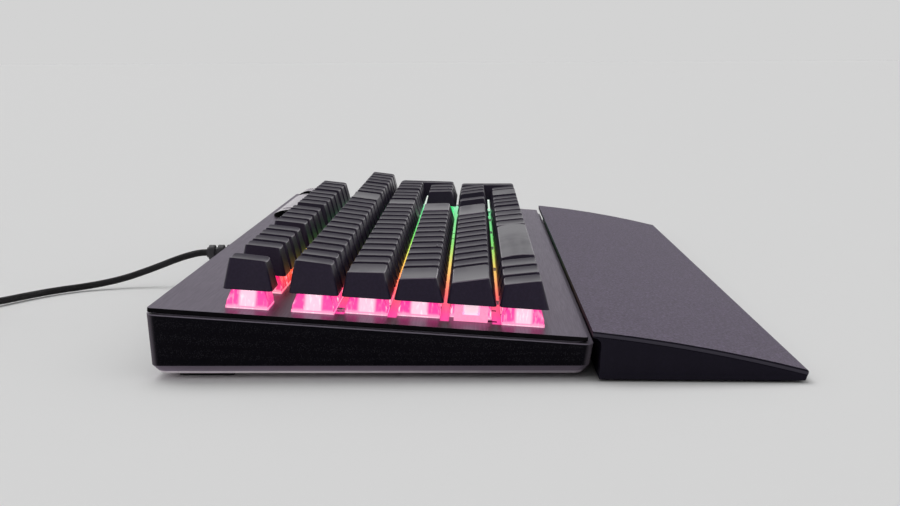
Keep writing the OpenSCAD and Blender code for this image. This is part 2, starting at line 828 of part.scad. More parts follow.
strip_mid_y = plate_d - strip_back - strip_w / 2;
strip_corner_r = 5;
// Radius of the strip's crowned top, from its width and its two heights
crown_rise = strip_h - strip_edge_h;
crown_r = (strip_w * strip_w / 4 + crown_rise * crown_rise) / (2 * crown_rise);
roller_margin = 5.3;
roller_x = strip_l / 2 - roller_margin - roller_l / 2;
roller_gap = 0.3;
roller_end_gap = 0.6;
ear_t = 2;
ear_w = 12;
ear_drop = 2.8;
ear_bite = 1;
ear_reach = roller_l / 2 + roller_end_gap + ear_t;
ear_gap = 0.3;
axle_r = 1.2;
axle_fit = 0.08;
button_margin = 10;
button_x = -strip_l / 2 + button_margin + button_l / 2;
button_w = strip_w / 2;
button_gap = 0.3;
button_flange_t = 0.8;
button_flange_w = 1;
button_flange_gap = 0.1;

// Plan of what passes through the plate under the strip
module strip_window() {
    translate([roller_x, 0])
        square(2 * [ear_reach + ear_gap, roller_r + roller_gap], center = true);
    translate([button_x, 0]) button_hole();
}

module button_hole() {
    square([button_l + 2 * button_gap, button_w + 2 * button_gap], center = true);
}

module at_strip() {
    on_deck() translate([strip_x, strip_mid_y, 0]) children();
}

// Everything under the strip's crown, lifted by rise
module under_crown(rise) {
    translate([0, 0, strip_h - crown_r + rise]) rotate([0, 90, 0])
        cylinder(h = strip_l + 2, r = crown_r, center = true);
}

module media_strip() {
    color("#b9b6bd") at_strip() difference() {
        union() {
            difference() {
                intersection() {
                    translate([-strip_l / 2, -strip_w / 2, 0]) linear_extrude(strip_h + 1)
                        rounded_rect(strip_l, strip_w, strip_corner_r);
                    under_crown(0);
                }
                translate([roller_x, 0, 0]) cube([roller_l + 2 * roller_end_gap,
                    2 * (roller_r + roller_gap), 3 * strip_h], center = true);
            }
            for (side = [-1, 1])
                translate([roller_x + side * (ear_reach - ear_t / 2) - ear_t / 2, -ear_w / 2,
                    roller_z - ear_drop])
                    cube([ear_t, ear_w, ear_drop - roller_z + ear_bite]);
        }
        translate([roller_x, 0, roller_z]) rotate([0, 90, 0])
            cylinder(h = 2 * ear_reach + 1, r = axle_r + axle_fit, center = true);
        translate([button_x, 0, -1]) linear_extrude(strip_h + 2) button_hole();
    }
}

grooves = 36;
groove_w = 0.5;
groove_depth = 0.3;
groove_end = 1.5;

module volume_roller() {
    color("#a8a5ad") at_strip() translate([roller_x, 0, roller_z]) rotate([0, 90, 0]) {
        difference() {
            cylinder(h = roller_l, r = roller_r, center = true);
            for (i = [0 : grooves - 1]) rotate([0, 0, i * 360 / grooves])
                translate([roller_r, 0, 0])
                    cube([2 * groove_depth, groove_w, roller_l - 2 * groove_end], center = true);
        }
        cylinder(h = roller_l + 2 * ear_t, r = axle_r, center = true);
    }
}

module media_button() {
    low = -plate_t - button_flange_gap - button_flange_t;
    color("#a8a5ad") at_strip() translate([button_x, 0, 0]) {
        intersection() {
            under_crown(button_travel);
            translate([-button_l / 2, -button_w / 2, low])
                cube([button_l, button_w, strip_h + 2 * button_travel - low]);
        }
        translate([-button_l / 2 - button_flange_w, -button_w / 2 - button_flange_w, low])
            cube([button_l + 2 * button_flange_w, button_w + 2 * button_flange_w, button_flange_t]);
    }
}

// ---- Cord ----------------------------------------------------------------

neck_r = 3;
neck_play = 0.2;
relief_ribs = 4;
relief_rib_l = 3.2;
relief_step = 0.07;
relief_flange_r = relief_r + 1.5;
relief_flange_t = 1.4;
relief_flange_gap = 1.5;
cord_r = cord_d / 2;

module strain_relief() {
    start = case_back_y - case_wall - case_draft - relief_flange_gap;
    out = case_back_y + relief_l;
    color("#101012") translate([0, 0, exit_z]) rotate([-90, 0, 0]) {
        translate([0, 0, start]) cylinder(h = relief_flange_t, r = relief_flange_r);
        translate([0, 0, start]) cylinder(h = out - start, r = neck_r - neck_play);
        for (i = [0 : relief_ribs - 1]) translate([0, 0, case_back_y + i * relief_pitch])
            cylinder(h = relief_rib_l, r = relief_r - i * relief_step);
    }
}

exit_y = case_back_y + relief_l;
cord_sides = 8;

// Free run of the cord as [across, back from its exit, height]: out of the relief,
// down under its own weight, then along the floor to the coil
run_route = [[0, 0, exit_z], [0, 4, 16.7], [0, 9, 15.6], [-0.5, 15.5, 13.6], [-1.5, 23, 10.8],
    [-3.5, 31.5, 7.8], [-6.5, 40, 5.2], [-11, 49, 3.4], [-17, 58, 2.4], [-25, 66, 2.2],
    [-35, 73, 2.2], [-46, 79, 2.2], [-57, 84, 2.3], [-67, 89, 2.4], [-76, 94, 2.6],
    [-83, 99.5, 2.8], [-88, 105.5, 2.9], [-90, 111, 2.9], [-90, 114, 2.9]];
// Tail of the cord, from the coil's top layer down to the plug
tail_route = [[-90, 120.8, 14.6], [-90, 126, 14.5], [-90.5, 133, 13.5], [-92.5, 141, 11],
    [-96.5, 148.5, 7.8], [-102.5, 154.5, 5.2], [-110, 158.5, 4], [-118, 160.5, 3.8],
    [-126, 161, 4], [-133, 161, 4]];

function from_exit(route) = [for (p = route) p + [0, exit_y, 0]];

// Unbroken tube of that radius through the points, with a flat-sided ring at each
module cord_tube(points, sides, r) {
    n = len(points);
    function heading(i) = let (a = points[max(i - 1, 0)], b = points[min(i + 1, n - 1)])
        (b - a) / norm(b - a);
    function across(t) = let (c = cross(t, [0, 0, 1])) c / norm(c);
    rings = [for (i = [0 : n - 1]) let (t = heading(i), u = across(t), v = cross(u, t))
        for (s = [0 : sides - 1]) let (a = (s + 0.5) * 360 / sides)
            points[i] + r * (cos(a) * u + sin(a) * v)];
    walls = [for (i = [0 : n - 2], s = [0 : sides - 1]) let (q = (s + 1) % sides)
        each [[i * sides + s, (i + 1) * sides + s, (i + 1) * sides + q],
            [i * sides + s, (i + 1) * sides + q, i * sides + q]]];
    base = (n - 1) * sides;
    first = [for (s = [1 : sides - 2]) [0, s, s + 1]];
    last = [for (s = [1 : sides - 2]) [base, base + s + 1, base + s]];
    polyhedron(rings, concat(walls, first, last));
}

module cord_run() {
    color("#141416") cord_tube(from_exit(run_route), cord_sides, cord_r);
}

module cord_tail() {
    color("#141416") cord_tube(from_exit(tail_route), cord_sides, cord_r);
}

// The coil spirals in and out again in layers, and climbs a layer in the half
// turn where the spiral reverses
coil_rings = 24;
coil_sides = 6;
coil_climb = 0.5;
coil_outer = coil_r + coil_turns / 2 * coil_pitch;
coil_start = run_route[len(run_route) - 1] + [0, exit_y, 0];
coil_mid = [coil_start[0] - coil_outer, coil_start[1] + cord_d];
function ease(s) = let (c = min(max(s, 0), 1)) c * c * (3 - 2 * c);
function coil_lift(t, layer = 1) = layer >= coil_layers ? 0
    : ease((t - layer * coil_turns) / coil_climb + 0.5) + coil_lift(t, layer + 1);
function coil_inset(t) = let (u = t % (2 * coil_turns)) u > coil_turns ? 2 * coil_turns - u : u;
function coil_point(t) = let (r = coil_outer - coil_pitch * coil_inset(t))
    [coil_mid[0] + r * cos(360 * t), coil_mid[1] + r * sin(360 * t),
        coil_start[2] + coil_pitch * coil_lift(t)];
coil_path = [for (i = [0 : coil_rings * coil_turns * coil_layers]) coil_point(i / coil_rings)];
coil_end = coil_path[len(coil_path) - 1];

module cord_coil() {
    n = len(coil_path);
    least_gap = min([for (i = [0 : n - 1 - coil_rings / 2], j = [i + coil_rings / 2 : n - 1])
        norm(coil_path[i] - coil_path[j])]) - cord_d;
    echo(least_gap = least_gap);
    color("#141416") cord_tube(concat([coil_start], coil_path, [coil_end + [0, cord_d, 0]]),
        coil_sides, cord_r);
}

// Strap round the coil, on the side away from its ends
tie_gap = 0.35;
tie_bundle_w = (coil_turns - 1) * coil_pitch + cord_d + 2 * tie_gap;
tie_bundle_h = (coil_layers - 1) * coil_pitch + cord_d + 2 * tie_gap;
tie_corner = 1.6;

module cord_tie() {
    color("#2a2a30") translate([coil_mid[0] - coil_r - tie_bundle_w / 2,
        coil_mid[1] + tie_w / 2, coil_start[2] - cord_r - tie_gap])
        rotate([90, 0, 0]) linear_extrude(tie_w) difference() {
            translate([-tie_t, -tie_t]) rounded_rect(tie_bundle_w + 2 * tie_t,
                tie_bundle_h + 2 * tie_t, tie_corner + tie_t);
            rounded_rect(tie_bundle_w, tie_bundle_h, tie_corner);
        }
}

plug_end = tail_route[len(tail_route) - 1] + [0, exit_y, 0];
plug_h = 8;
shell_wall = 0.4;
plug_neck_r = 2.8;
plug_neck_l = 6;
plug_corner_r = 2;
grip_ribs = 5;
grip_rib_pitch = 2.4;
grip_rib_x = 5;
// Length, width and height of the cutter for one of the grip's grooves
grip_groove = [1, plug_w - 6, 0.8];
lock_hole = [2.2, 2, 2 * shell_h];
lock_hole_x = 6;
lock_hole_y = 3;

module usb_plug() {
    color("#202024") translate(plug_end) rotate([0, 0, 180]) {
        rotate([0, 90, 0]) cylinder(h = plug_neck_l + 1, r = plug_neck_r);
        translate([plug_neck_l, -plug_w / 2, -plug_h / 2]) difference() {
            linear_extrude(plug_h) rounded_rect(plug_l, plug_w, plug_corner_r);
            for (i = [0 : grip_ribs - 1], z = [0, plug_h])
                translate([grip_rib_x + i * grip_rib_pitch, plug_w / 2, z])
                    cube(grip_groove, center = true);
        }
        translate([plug_neck_l + plug_l - 1, 0, 0]) {
            difference() {
                translate([0, -shell_w / 2, -shell_h / 2]) cube([shell_l + 1, shell_w, shell_h]);
                translate([1, shell_wall - shell_w / 2, shell_wall - shell_h / 2])
                    cube([shell_l + 1, shell_w - 2 * shell_wall, shell_h - 2 * shell_wall]);
                for (side = [-1, 1]) translate([lock_hole_x, side * lock_hole_y, 0])
                    cube(lock_hole, center = true);
            }
            translate([0, shell_wall - shell_w / 2, shell_wall - shell_h / 2])
                cube([shell_l - 1, shell_w - 2 * shell_wall, tongue_t]);
        }
    }
}

// ---- Wrist rest ----------------------------------------------------------

rest_back_y = nose_y + rest_d;
// Middle of the top's arc, from its two ends and its radius, as [y, z]
arc_a = [nose_y, rest_nose_h];
arc_b = [rest_back_y, rest_back_h];
arc_mid = (arc_a + arc_b) / 2;
arc_half = norm(arc_b - arc_a) / 2;
arc_dir = (arc_b - arc_a) / (2 * arc_half);
arc_centre = arc_mid + sqrt(rest_curve_r * rest_curve_r - arc_half * arc_half) * [arc_dir[1], -arc_dir[0]];

// The nose's front face leans in towards the floor between two roundings
nose_r = 0.9;
nose_undercut = 0.8;
nose_top = [nose_y + nose_r, arc_centre[1]
    + sqrt(pow(rest_curve_r - nose_r, 2) - pow(nose_y + nose_r - arc_centre[0], 2))];
nose_low = [nose_y + nose_undercut + nose_r, rest_foot_h + nose_r];
nose_up = (nose_top - nose_low) / norm(nose_top - nose_low);
nose_out = nose_r * [-nose_up[1], nose_up[0]];
// The back face has a lip, a cove under it and a heel that stands out at the floor
rest_lip_t = 0.6;
rest_heel = 0.8;
cove_step = 0.15;

module rest_side(drop) {
    wall_y = rest_back_y - rest_undercut;
    cove_z = rest_back_h - pad_t - rest_lip_t - rest_undercut;
    difference() {
        intersection() {
            union() {
                polygon([nose_top + nose_out, nose_low + nose_out, nose_low,
                    [nose_low[0], rest_foot_h], [wall_y + rest_heel, rest_foot_h],
                    [wall_y + cove_step, cove_z], [rest_back_y, cove_z],
                    [rest_back_y, rest_back_h + 1], [nose_top[0], rest_back_h + 1], nose_top]);
                for (middle = [nose_top, nose_low]) translate(middle) circle(nose_r);
            }
            translate(arc_centre) circle(rest_curve_r - drop, $fn = 720);
        }
        translate([rest_back_y, cove_z]) circle(rest_undercut);
    }
}

module rest_plan() {
    back = rest_back_l / 2;
    nose = back + rest_flare;
    polygon([[-nose, nose_y - 1], [nose, nose_y - 1], [back, rest_back_y + 1], [-back, rest_back_y + 1]]);
}

module rest_solid(drop) {
    intersection() {
        rotate([90, 0, 90]) linear_extrude(rest_back_l + 2 * rest_flare + 2, center = true) rest_side(drop);
        linear_extrude(rest_back_h + 2) rest_plan();
    }
}

magnet_r = 4;
magnet_t = 2;
magnet_xs = [-150, -50, 50, 150];
magnet_z = 8;
magnet_skin = 1;

module at_magnets() {
    for (x = magnet_xs) translate([x, rest_back_y - rest_undercut - magnet_t - magnet_skin, magnet_z])
        rotate([-90, 0, 0]) children();
}

module rest_base() {
    color("#1b1b22") difference() {
        rest_solid(pad_t);
        at_magnets() cylinder(h = magnet_t, r = magnet_r);
    }
}

module rest_pad() {
    color("#4a4650") difference() {
        rest_solid(0);
        rotate([90, 0, 90]) linear_extrude(rest_back_l + 4 * rest_flare + 2, center = true)
            translate(arc_centre) circle(rest_curve_r - pad_t, $fn = 720);
    }
}

rest_strip_l = 60;
rest_strip_d = 6;
rest_strip_edge = 10;

module rest_feet() {
    back = rest_back_y - rest_undercut - rest_strip_edge - rest_strip_d;
    color("#0c0c0d") for (x = [-1, 0, 1], y = [nose_y + rest_strip_edge, back])
        translate([x * rest_back_l / 3 - rest_strip_l / 2, y, 0])
            linear_extrude(rest_foot_h) rounded_rect(rest_strip_l, rest_strip_d, pad_corner_r);
}

module rest_magnets() {
    color("silver") at_magnets() cylinder(h = magnet_t, r = magnet_r);
}

top_plate();
bottom_case();
circuit_board();
switch_tops();
switch_bases();
switch_leds();
switch_springs();
stabilizer_housings();
stabilizer_wires();
case_screws();
case_feet();
media_strip();
volume_roller();
media_button();
left_foot();
left_foot_tip();
right_foot();
right_foot_tip();
strain_relief();
cord_run();
cord_coil();
cord_tail();
cord_tie();
usb_plug();
rest_base();
rest_pad();
rest_feet();
rest_magnets();
caps(letter_keys);  // letter_caps
stems(letter_keys);  // letter_stems
caps(number_keys);  // number_caps
stems(number_keys);  // number_stems
caps(function_keys);  // function_caps
stems(function_keys);  // function_stems
caps(navigation_keys);  // navigation_caps
stems(navigation_keys);  // navigation_stems
caps(pad_keys);  // pad_caps
stems(pad_keys);  // pad_stems
caps(modifier_keys);  // modifier_caps
stems(modifier_keys);  // modifier_stems
caps(escape_key);  // escape_cap
stems(escape_key);  // escape_stem
caps(backspace_key);  // backspace_cap
stems(backspace_key);  // backspace_stem
caps(tab_key);  // tab_cap
stems(tab_key);  // tab_stem
caps(caps_lock_key);  // caps_lock_cap
stems(caps_lock_key);  // caps_lock_stem
caps(enter_key);  // enter_cap
stems(enter_key);  // enter_stem
caps(left_shift_key);  // left_shift_cap
stems(left_shift_key);  // left_shift_stem
caps(right_shift_key);  // right_shift_cap
stems(right_shift_key);  // right_shift_stem
caps(space_key);  // space_bar
stems(space_key);  // space_stem
caps(pad_zero_key);  // pad_zero_cap
stems(pad_zero_key);  // pad_zero_stem
caps(pad_tall_keys);  // pad_tall_caps
stems(pad_tall_keys);  // pad_tall_stems
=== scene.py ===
import logging
import math
from dataclasses import dataclass, field
from enum import Enum
from typing import Callable, Iterable, Optional, Sequence

import bmesh
import bpy
from mathutils import Matrix, Vector


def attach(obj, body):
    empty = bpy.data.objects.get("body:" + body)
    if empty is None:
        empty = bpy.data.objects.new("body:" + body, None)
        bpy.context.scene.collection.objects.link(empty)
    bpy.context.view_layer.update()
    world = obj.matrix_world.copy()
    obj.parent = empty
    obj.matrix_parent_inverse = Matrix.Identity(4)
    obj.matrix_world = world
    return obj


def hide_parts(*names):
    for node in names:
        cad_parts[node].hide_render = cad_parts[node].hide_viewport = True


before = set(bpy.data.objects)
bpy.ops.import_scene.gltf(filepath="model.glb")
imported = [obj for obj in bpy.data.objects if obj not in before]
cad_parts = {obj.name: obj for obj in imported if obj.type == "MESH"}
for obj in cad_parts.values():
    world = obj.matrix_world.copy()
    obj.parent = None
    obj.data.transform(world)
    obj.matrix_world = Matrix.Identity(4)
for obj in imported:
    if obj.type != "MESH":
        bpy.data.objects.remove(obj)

LOG = logging.getLogger("keyboard")
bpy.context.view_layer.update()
MM = 0.001
# A face whose normal has more than this along an axis looks straight along it
STRAIGHT = 0.9
# Points closer to a cutting plane than this lie on it, in metres
ON_PLANE = 1e-7
# The plate's slope, which the case's upper edge follows
TILT = math.radians(4.0)
# One key unit, from the middle of a key to the middle of the next
KEY_UNIT = 19.05 * MM
# The plate's front edge and the height of its top there
PLATE_FRONT = (-40.0891 * MM, 15.4 * MM)

Colour = tuple[float, float, float]
Socket = bpy.types.NodeSocket
Piece = bpy.types.Object
BMesh = bmesh.types.BMesh


def put_in_scene(name: str, data: object) -> Piece:
    """Makes an object from its data at the origin and puts it in the scene."""
    made = bpy.data.objects.new(name, data)
    bpy.context.collection.objects.link(made)
    return made


def hex_colour(code: str) -> Colour:
    """Turns a six-digit hex colour into linear light.

    Args:
        code: The colour as RRGGBB.

    Returns:
        Red, green and blue, each from 0 to 1, in linear light.
    """
    parts = [int(code[i : i + 2], 16) / 255 for i in (0, 2, 4)]
    linear = [p / 12.92 if p <= 0.04045 else ((p + 0.055) / 1.055) ** 2.4 for p in parts]
    return linear[0], linear[1], linear[2]


class Graph:
    """Adds shader nodes to one tree and joins their sockets."""

    def __init__(self, tree: bpy.types.NodeTree) -> None:
        """Starts a graph on an empty or new node tree."""
        self.tree = tree

    def add(self, kind: str, sockets: Optional[dict] = None, **settings: object) -> bpy.types.Node:
        """Makes a node, sets its properties and feeds its inputs.

        Args:
            kind: The node's type name, without the ShaderNode prefix.
            sockets: Input name or index to a plain value or to an output socket.
            **settings: Properties of the node.

        Returns:
            The new node.
        """
        node = self.tree.nodes.new(kind if kind.startswith("Node") else "ShaderNode" + kind)
        for name, value in settings.items():
            setattr(node, name, value)
        for name, value in (sockets or {}).items():
            self.feed(node.inputs[name], value)
        return node

    def feed(self, socket: Socket, value: object) -> None:
        """Joins an output to an input, or sets the input's plain value."""
        if isinstance(value, Socket):
            self.tree.links.new(value, socket)
        elif socket.type == "RGBA" and len(value) == 3:
            socket.default_value = (*value, 1.0)
        else:
            socket.default_value = value

    def maths(self, operation: str, first: object, second: object = 0.0) -> Socket:
        """Adds a Math node and returns its output."""
        return self.add("Math", {0: first, 1: second}, operation=operation).outputs[0]

    def times(self, first: object, second: object) -> Socket:
        """Multiplies two values."""
        return self.maths("MULTIPLY", first, second)

    def plus(self, first: object, second: object) -> Socket:
        """Adds two values."""
        return self.maths("ADD", first, second)

    def less(self, first: object, second: object) -> Socket:
        """Takes the second value from the first."""
        return self.maths("SUBTRACT", first, second)

    def scaled(self, vector: object, share: object) -> Socket:
        """Scales a vector or a colour."""
        return self.add("VectorMath", {0: vector, 3: share}, operation="SCALE").outputs[0]

    def mixed(self, factor: object, first: object, second: object) -> Socket:
        """Mixes two values."""
        return self.add("Mix", {0: factor, 2: first, 3: second}).outputs[0]

    def larger(self, first: object, second: object) -> Socket:
        """Gives the larger of two values."""
        return self.maths("MAXIMUM", first, second)

    def unsigned(self, value: object) -> Socket:
        """Drops a value's sign."""
        return self.maths("ABSOLUTE", value)

    def noise(
        self, vector: object, scale: object, detail: float, roughness: float = 0.5,
        distortion: float = 0.0,
    ) -> Socket:
        """Adds a noise texture and returns its value."""
        sockets = {"Vector": vector, "Scale": scale, "Detail": detail, "Roughness": roughness}
        return self.add("TexNoise", {**sockets, "Distortion": distortion}).outputs[0]

    def stretched(self, vector: object, scale: Sequence[float], turn: float = 0.0) -> Socket:
        """Stretches a coordinate, turned about Z."""
        sockets = {"Vector": vector, "Rotation": (0.0, 0.0, turn), "Scale": scale}
        return self.add("Mapping", sockets).outputs[0]

    def uv(self, name: str) -> Socket:
        """Reads a UV map."""
        return self.add("UVMap", uv_map=name).outputs[0]

    def ramp(
        self, value: object, low: float, high: float, start: float = 0.0, end: float = 1.0
    ) -> Socket:
        """Maps a value from low..high to start..end, held at both ends."""
        node = self.add(
            "MapRange", {0: value, 1: low, 2: high, 3: start, 4: end},
            interpolation_type="SMOOTHSTEP",
        )
        return node.outputs[0]

    def blend(self, factor: object, first: object, second: object, mode: str = "MIX") -> Socket:
        """Mixes two colours and returns the result."""
        node = self.add("Mix", {0: factor, 6: first, 7: second}, data_type="RGBA", blend_type=mode)
        return node.outputs[2]

    def parts(self, vector: object) -> list[Socket]:
        """Splits a vector into its X, Y and Z outputs."""
        return list(self.add("SeparateXYZ", {0: vector}).outputs)

    def bump(
        self, height: object, depth: float, strength: float = 1.0, normal: object = None
    ) -> Socket:
        """Turns a height from 0 to 1 into a normal.

        Args:
            height: The height socket.
            depth: The relief's full depth in metres.
            strength: How much of it shows.
            normal: An earlier bump's normal, if there is one.

        Returns:
            The normal socket.
        """
        sockets = {"Height": height, "Distance": depth, "Strength": strength}
        if normal is not None:
            sockets["Normal"] = normal
        return self.add("Bump", sockets).outputs[0]


class Effect:
    """A surface effect kept as one shader node group and shared by many finishes."""

    def __init__(
        self, name: str, inputs: dict[str, float], outputs: Sequence[str],
        draw: Callable[[Graph, dict], dict],
    ) -> None:
        """Builds the group.

        Args:
            name: The group's name.
            inputs: Value inputs and what they are when nothing feeds them. A Vector input is
                always there.
            outputs: Names of the value outputs.
            draw: Fills the group's tree and returns each output's socket.
        """
        self.group = bpy.data.node_groups.new(name, "ShaderNodeTree")
        face = self.group.interface
        face.new_socket("Vector", in_out="INPUT", socket_type="NodeSocketVector")
        for label, value in inputs.items():
            face.new_socket(
                label, in_out="INPUT", socket_type="NodeSocketFloat"
            ).default_value = value
        for label in outputs:
            face.new_socket(label, in_out="OUTPUT", socket_type="NodeSocketFloat")
        graph = Graph(self.group)
        entry, leave = graph.add("NodeGroupInput"), graph.add("NodeGroupOutput")
        for label, socket in draw(graph, {s.name: s for s in entry.outputs if s.name}).items():
            graph.feed(leave.inputs[label], socket)

    def use(self, graph: Graph, vector: object, **values: object) -> dict[str, Socket]:
        """Places the group in a material.

        Args:
            graph: The material's graph.
            vector: The coordinate the effect is laid on.
            **values: The group's other inputs, with spaces written as underscores.

        Returns:
            The group's outputs by name.
        """
        node = graph.add("Group", node_tree=self.group)
        graph.feed(node.inputs["Vector"], vector)
        for label, value in values.items():
            graph.feed(node.inputs[label.replace("_", " ").title()], value)
        return {s.name: s for s in node.outputs}


def draw_grain(graph: Graph, into: dict) -> dict:
    """Moulded grain: fine pits over a coarser, softer pattern."""
    fine = graph.noise(into["Vector"], into["Scale"], 3.0, 0.6)
    cells = {"Vector": into["Vector"], "Scale": graph.times(into["Scale"], 0.55)}
    wide = graph.add("TexVoronoi", cells, feature="SMOOTH_F1").outputs["Distance"]
    height = graph.plus(graph.times(fine, 0.6), graph.times(wide, 0.5))
    return {"Height": height, "Tone": graph.ramp(height, 0.3, 0.75)}


def draw_handling(graph: Graph, into: dict) -> dict:
    """Faint marks left by hands and a cloth: broad clouds and thin wiped streaks."""
    cloud = graph.noise(into["Vector"], into["Scale"], 4.0, 0.55, 0.6)
    wiped = graph.stretched(into["Vector"], (1.0, 9.0, 1.0), 0.5)
    streak = graph.ramp(graph.noise(wiped, into["Scale"], 3.0), 0.35, 0.7, 0.4, 1.0)
    return {"Mask": graph.times(graph.ramp(cloud, 0.42, 0.68), streak)}


def draw_brushed(graph: Graph, into: dict) -> dict:
    """Brushed metal: long fine lines along X."""
    drawn = graph.stretched(into["Vector"], (0.02, 1.0, 1.0))
    lines = graph.noise(drawn, into["Scale"], 5.0, 0.7)
    return {"Height": lines, "Tone": graph.ramp(lines, 0.3, 0.7)}


def draw_flecks(graph: Graph, into: dict) -> dict:
    """Small bright flecks, scattered cell by cell."""
    sockets = {"Vector": into["Vector"], "Scale": into["Scale"]}
    cells = graph.add("TexVoronoi", sockets, feature="F1")
    shade = graph.parts(cells.outputs["Color"])
    chosen = graph.maths("GREATER_THAN", shade[0], into["Rarity"])
    near = graph.maths("LESS_THAN", cells.outputs["Distance"], 0.42)
    return {"Mask": graph.times(graph.times(chosen, near), shade[1])}


def draw_braid(graph: Graph, into: dict) -> dict:
    """Braided sleeve: two crossing sets of strands, laid over and under each other."""
    x, y, _ = graph.parts(into["Vector"])
    around = graph.times(x, into["Strands"])
    along = graph.times(y, into["Pitch"])
    sets = []
    for operation in ("ADD", "SUBTRACT"):
        turn = graph.maths(operation, along, around)
        sets.append(graph.unsigned(graph.maths("SINE", graph.times(turn, math.pi))))
    crossing = graph.times(graph.plus(along, around), 2 * math.pi)
    over = graph.ramp(graph.maths("SINE", crossing), -0.3, 0.3)
    first = graph.times(sets[0], over)
    second = graph.times(sets[1], graph.less(1.0, over))
    height = graph.plus(first, second)
    return {"Height": height, "Tone": graph.ramp(height, 0.05, 0.7)}


GRAIN = Effect("MouldedGrain", {"Scale": 2000.0}, ["Height", "Tone"], draw_grain)
HANDLING = Effect("HandlingMarks", {"Scale": 25.0}, ["Mask"], draw_handling)
BRUSHED = Effect("BrushedLines", {"Scale": 2500.0}, ["Height", "Tone"], draw_brushed)
FLECKS = Effect("BrightFlecks", {"Scale": 1500.0, "Rarity": 0.9}, ["Mask"], draw_flecks)
BRAID = Effect("BraidedStrands", {"Strands": 12.0, "Pitch": 300.0}, ["Height", "Tone"], draw_braid)


@dataclass(frozen=True)
class Finish:
    """A moulded or machined surface: its colour, gloss, grain and the marks of use."""

    name: str
    colour: Colour
    roughness: float = 0.5
    metallic: float = 0.0
    specular: float = 0.5
    coat: float = 0.0
    coat_roughness: float = 0.15
    sheen_tint: Colour = (1.0, 1.0, 1.0)
    grain_size: float = 0.5 * MM
    grain_depth: float = 0.012 * MM
    tone: float = 0.12
    marks: float = 0.12
    mark_colour: Colour = (0.35, 0.34, 0.36)
    mark_scale: float = 22.0
    mark_show: float = 0.12

    def paint(self, graph: Graph, place: Socket) -> dict[str, object]:
        """Draws what changes over the surface.

        Args:
            graph: The material's graph.
            place: Object coordinates.

        Returns:
            Base Color, Roughness and Normal, and any other input that this finish varies.
        """
        grain = GRAIN.use(graph, place, scale=1.0 / self.grain_size)
        wear = HANDLING.use(graph, place, scale=self.mark_scale)["Mask"]
        dark = tuple(c * (1.0 - self.tone) for c in self.colour)
        light = tuple(min(1.0, c * (1.0 + self.tone)) for c in self.colour)
        base = graph.blend(grain["Tone"], dark, light)
        worn = graph.blend(graph.times(wear, self.mark_show * self.marks), base, self.mark_colour)
        rough = graph.plus(graph.times(wear, self.marks), self.roughness)
        return {
            "Base Color": worn, "Roughness": rough,
            "Normal": graph.bump(grain["Height"], self.grain_depth),
        }

    def fixed(self) -> dict[str, object]:
        """Gives the shader inputs that are the same all over."""
        return {
            "Metallic": self.metallic,
            "Specular IOR Level": self.specular,
            "Specular Tint": (*self.sheen_tint, 1.0),
            "Coat Weight": self.coat,
            "Coat Roughness": self.coat_roughness,
        }

    def material(self) -> bpy.types.Material:
        """Builds the material once and returns it each time it is asked for."""
        known = bpy.data.materials.get(self.name)
        if known is not None:
            return known
        made = bpy.data.materials.new(self.name)
        made.use_nodes = True
        made.node_tree.nodes.clear()
        graph = Graph(made.node_tree)
        place = graph.add("TexCoord").outputs["Object"]
        shader = graph.add("BsdfPrincipled", self.fixed())
        for label, value in self.paint(graph, place).items():
            graph.feed(shader.inputs[label], value)
        graph.add("OutputMaterial", {"Surface": shader.outputs[0]})
        made.diffuse_color = (*self.colour, 1.0)
        return made


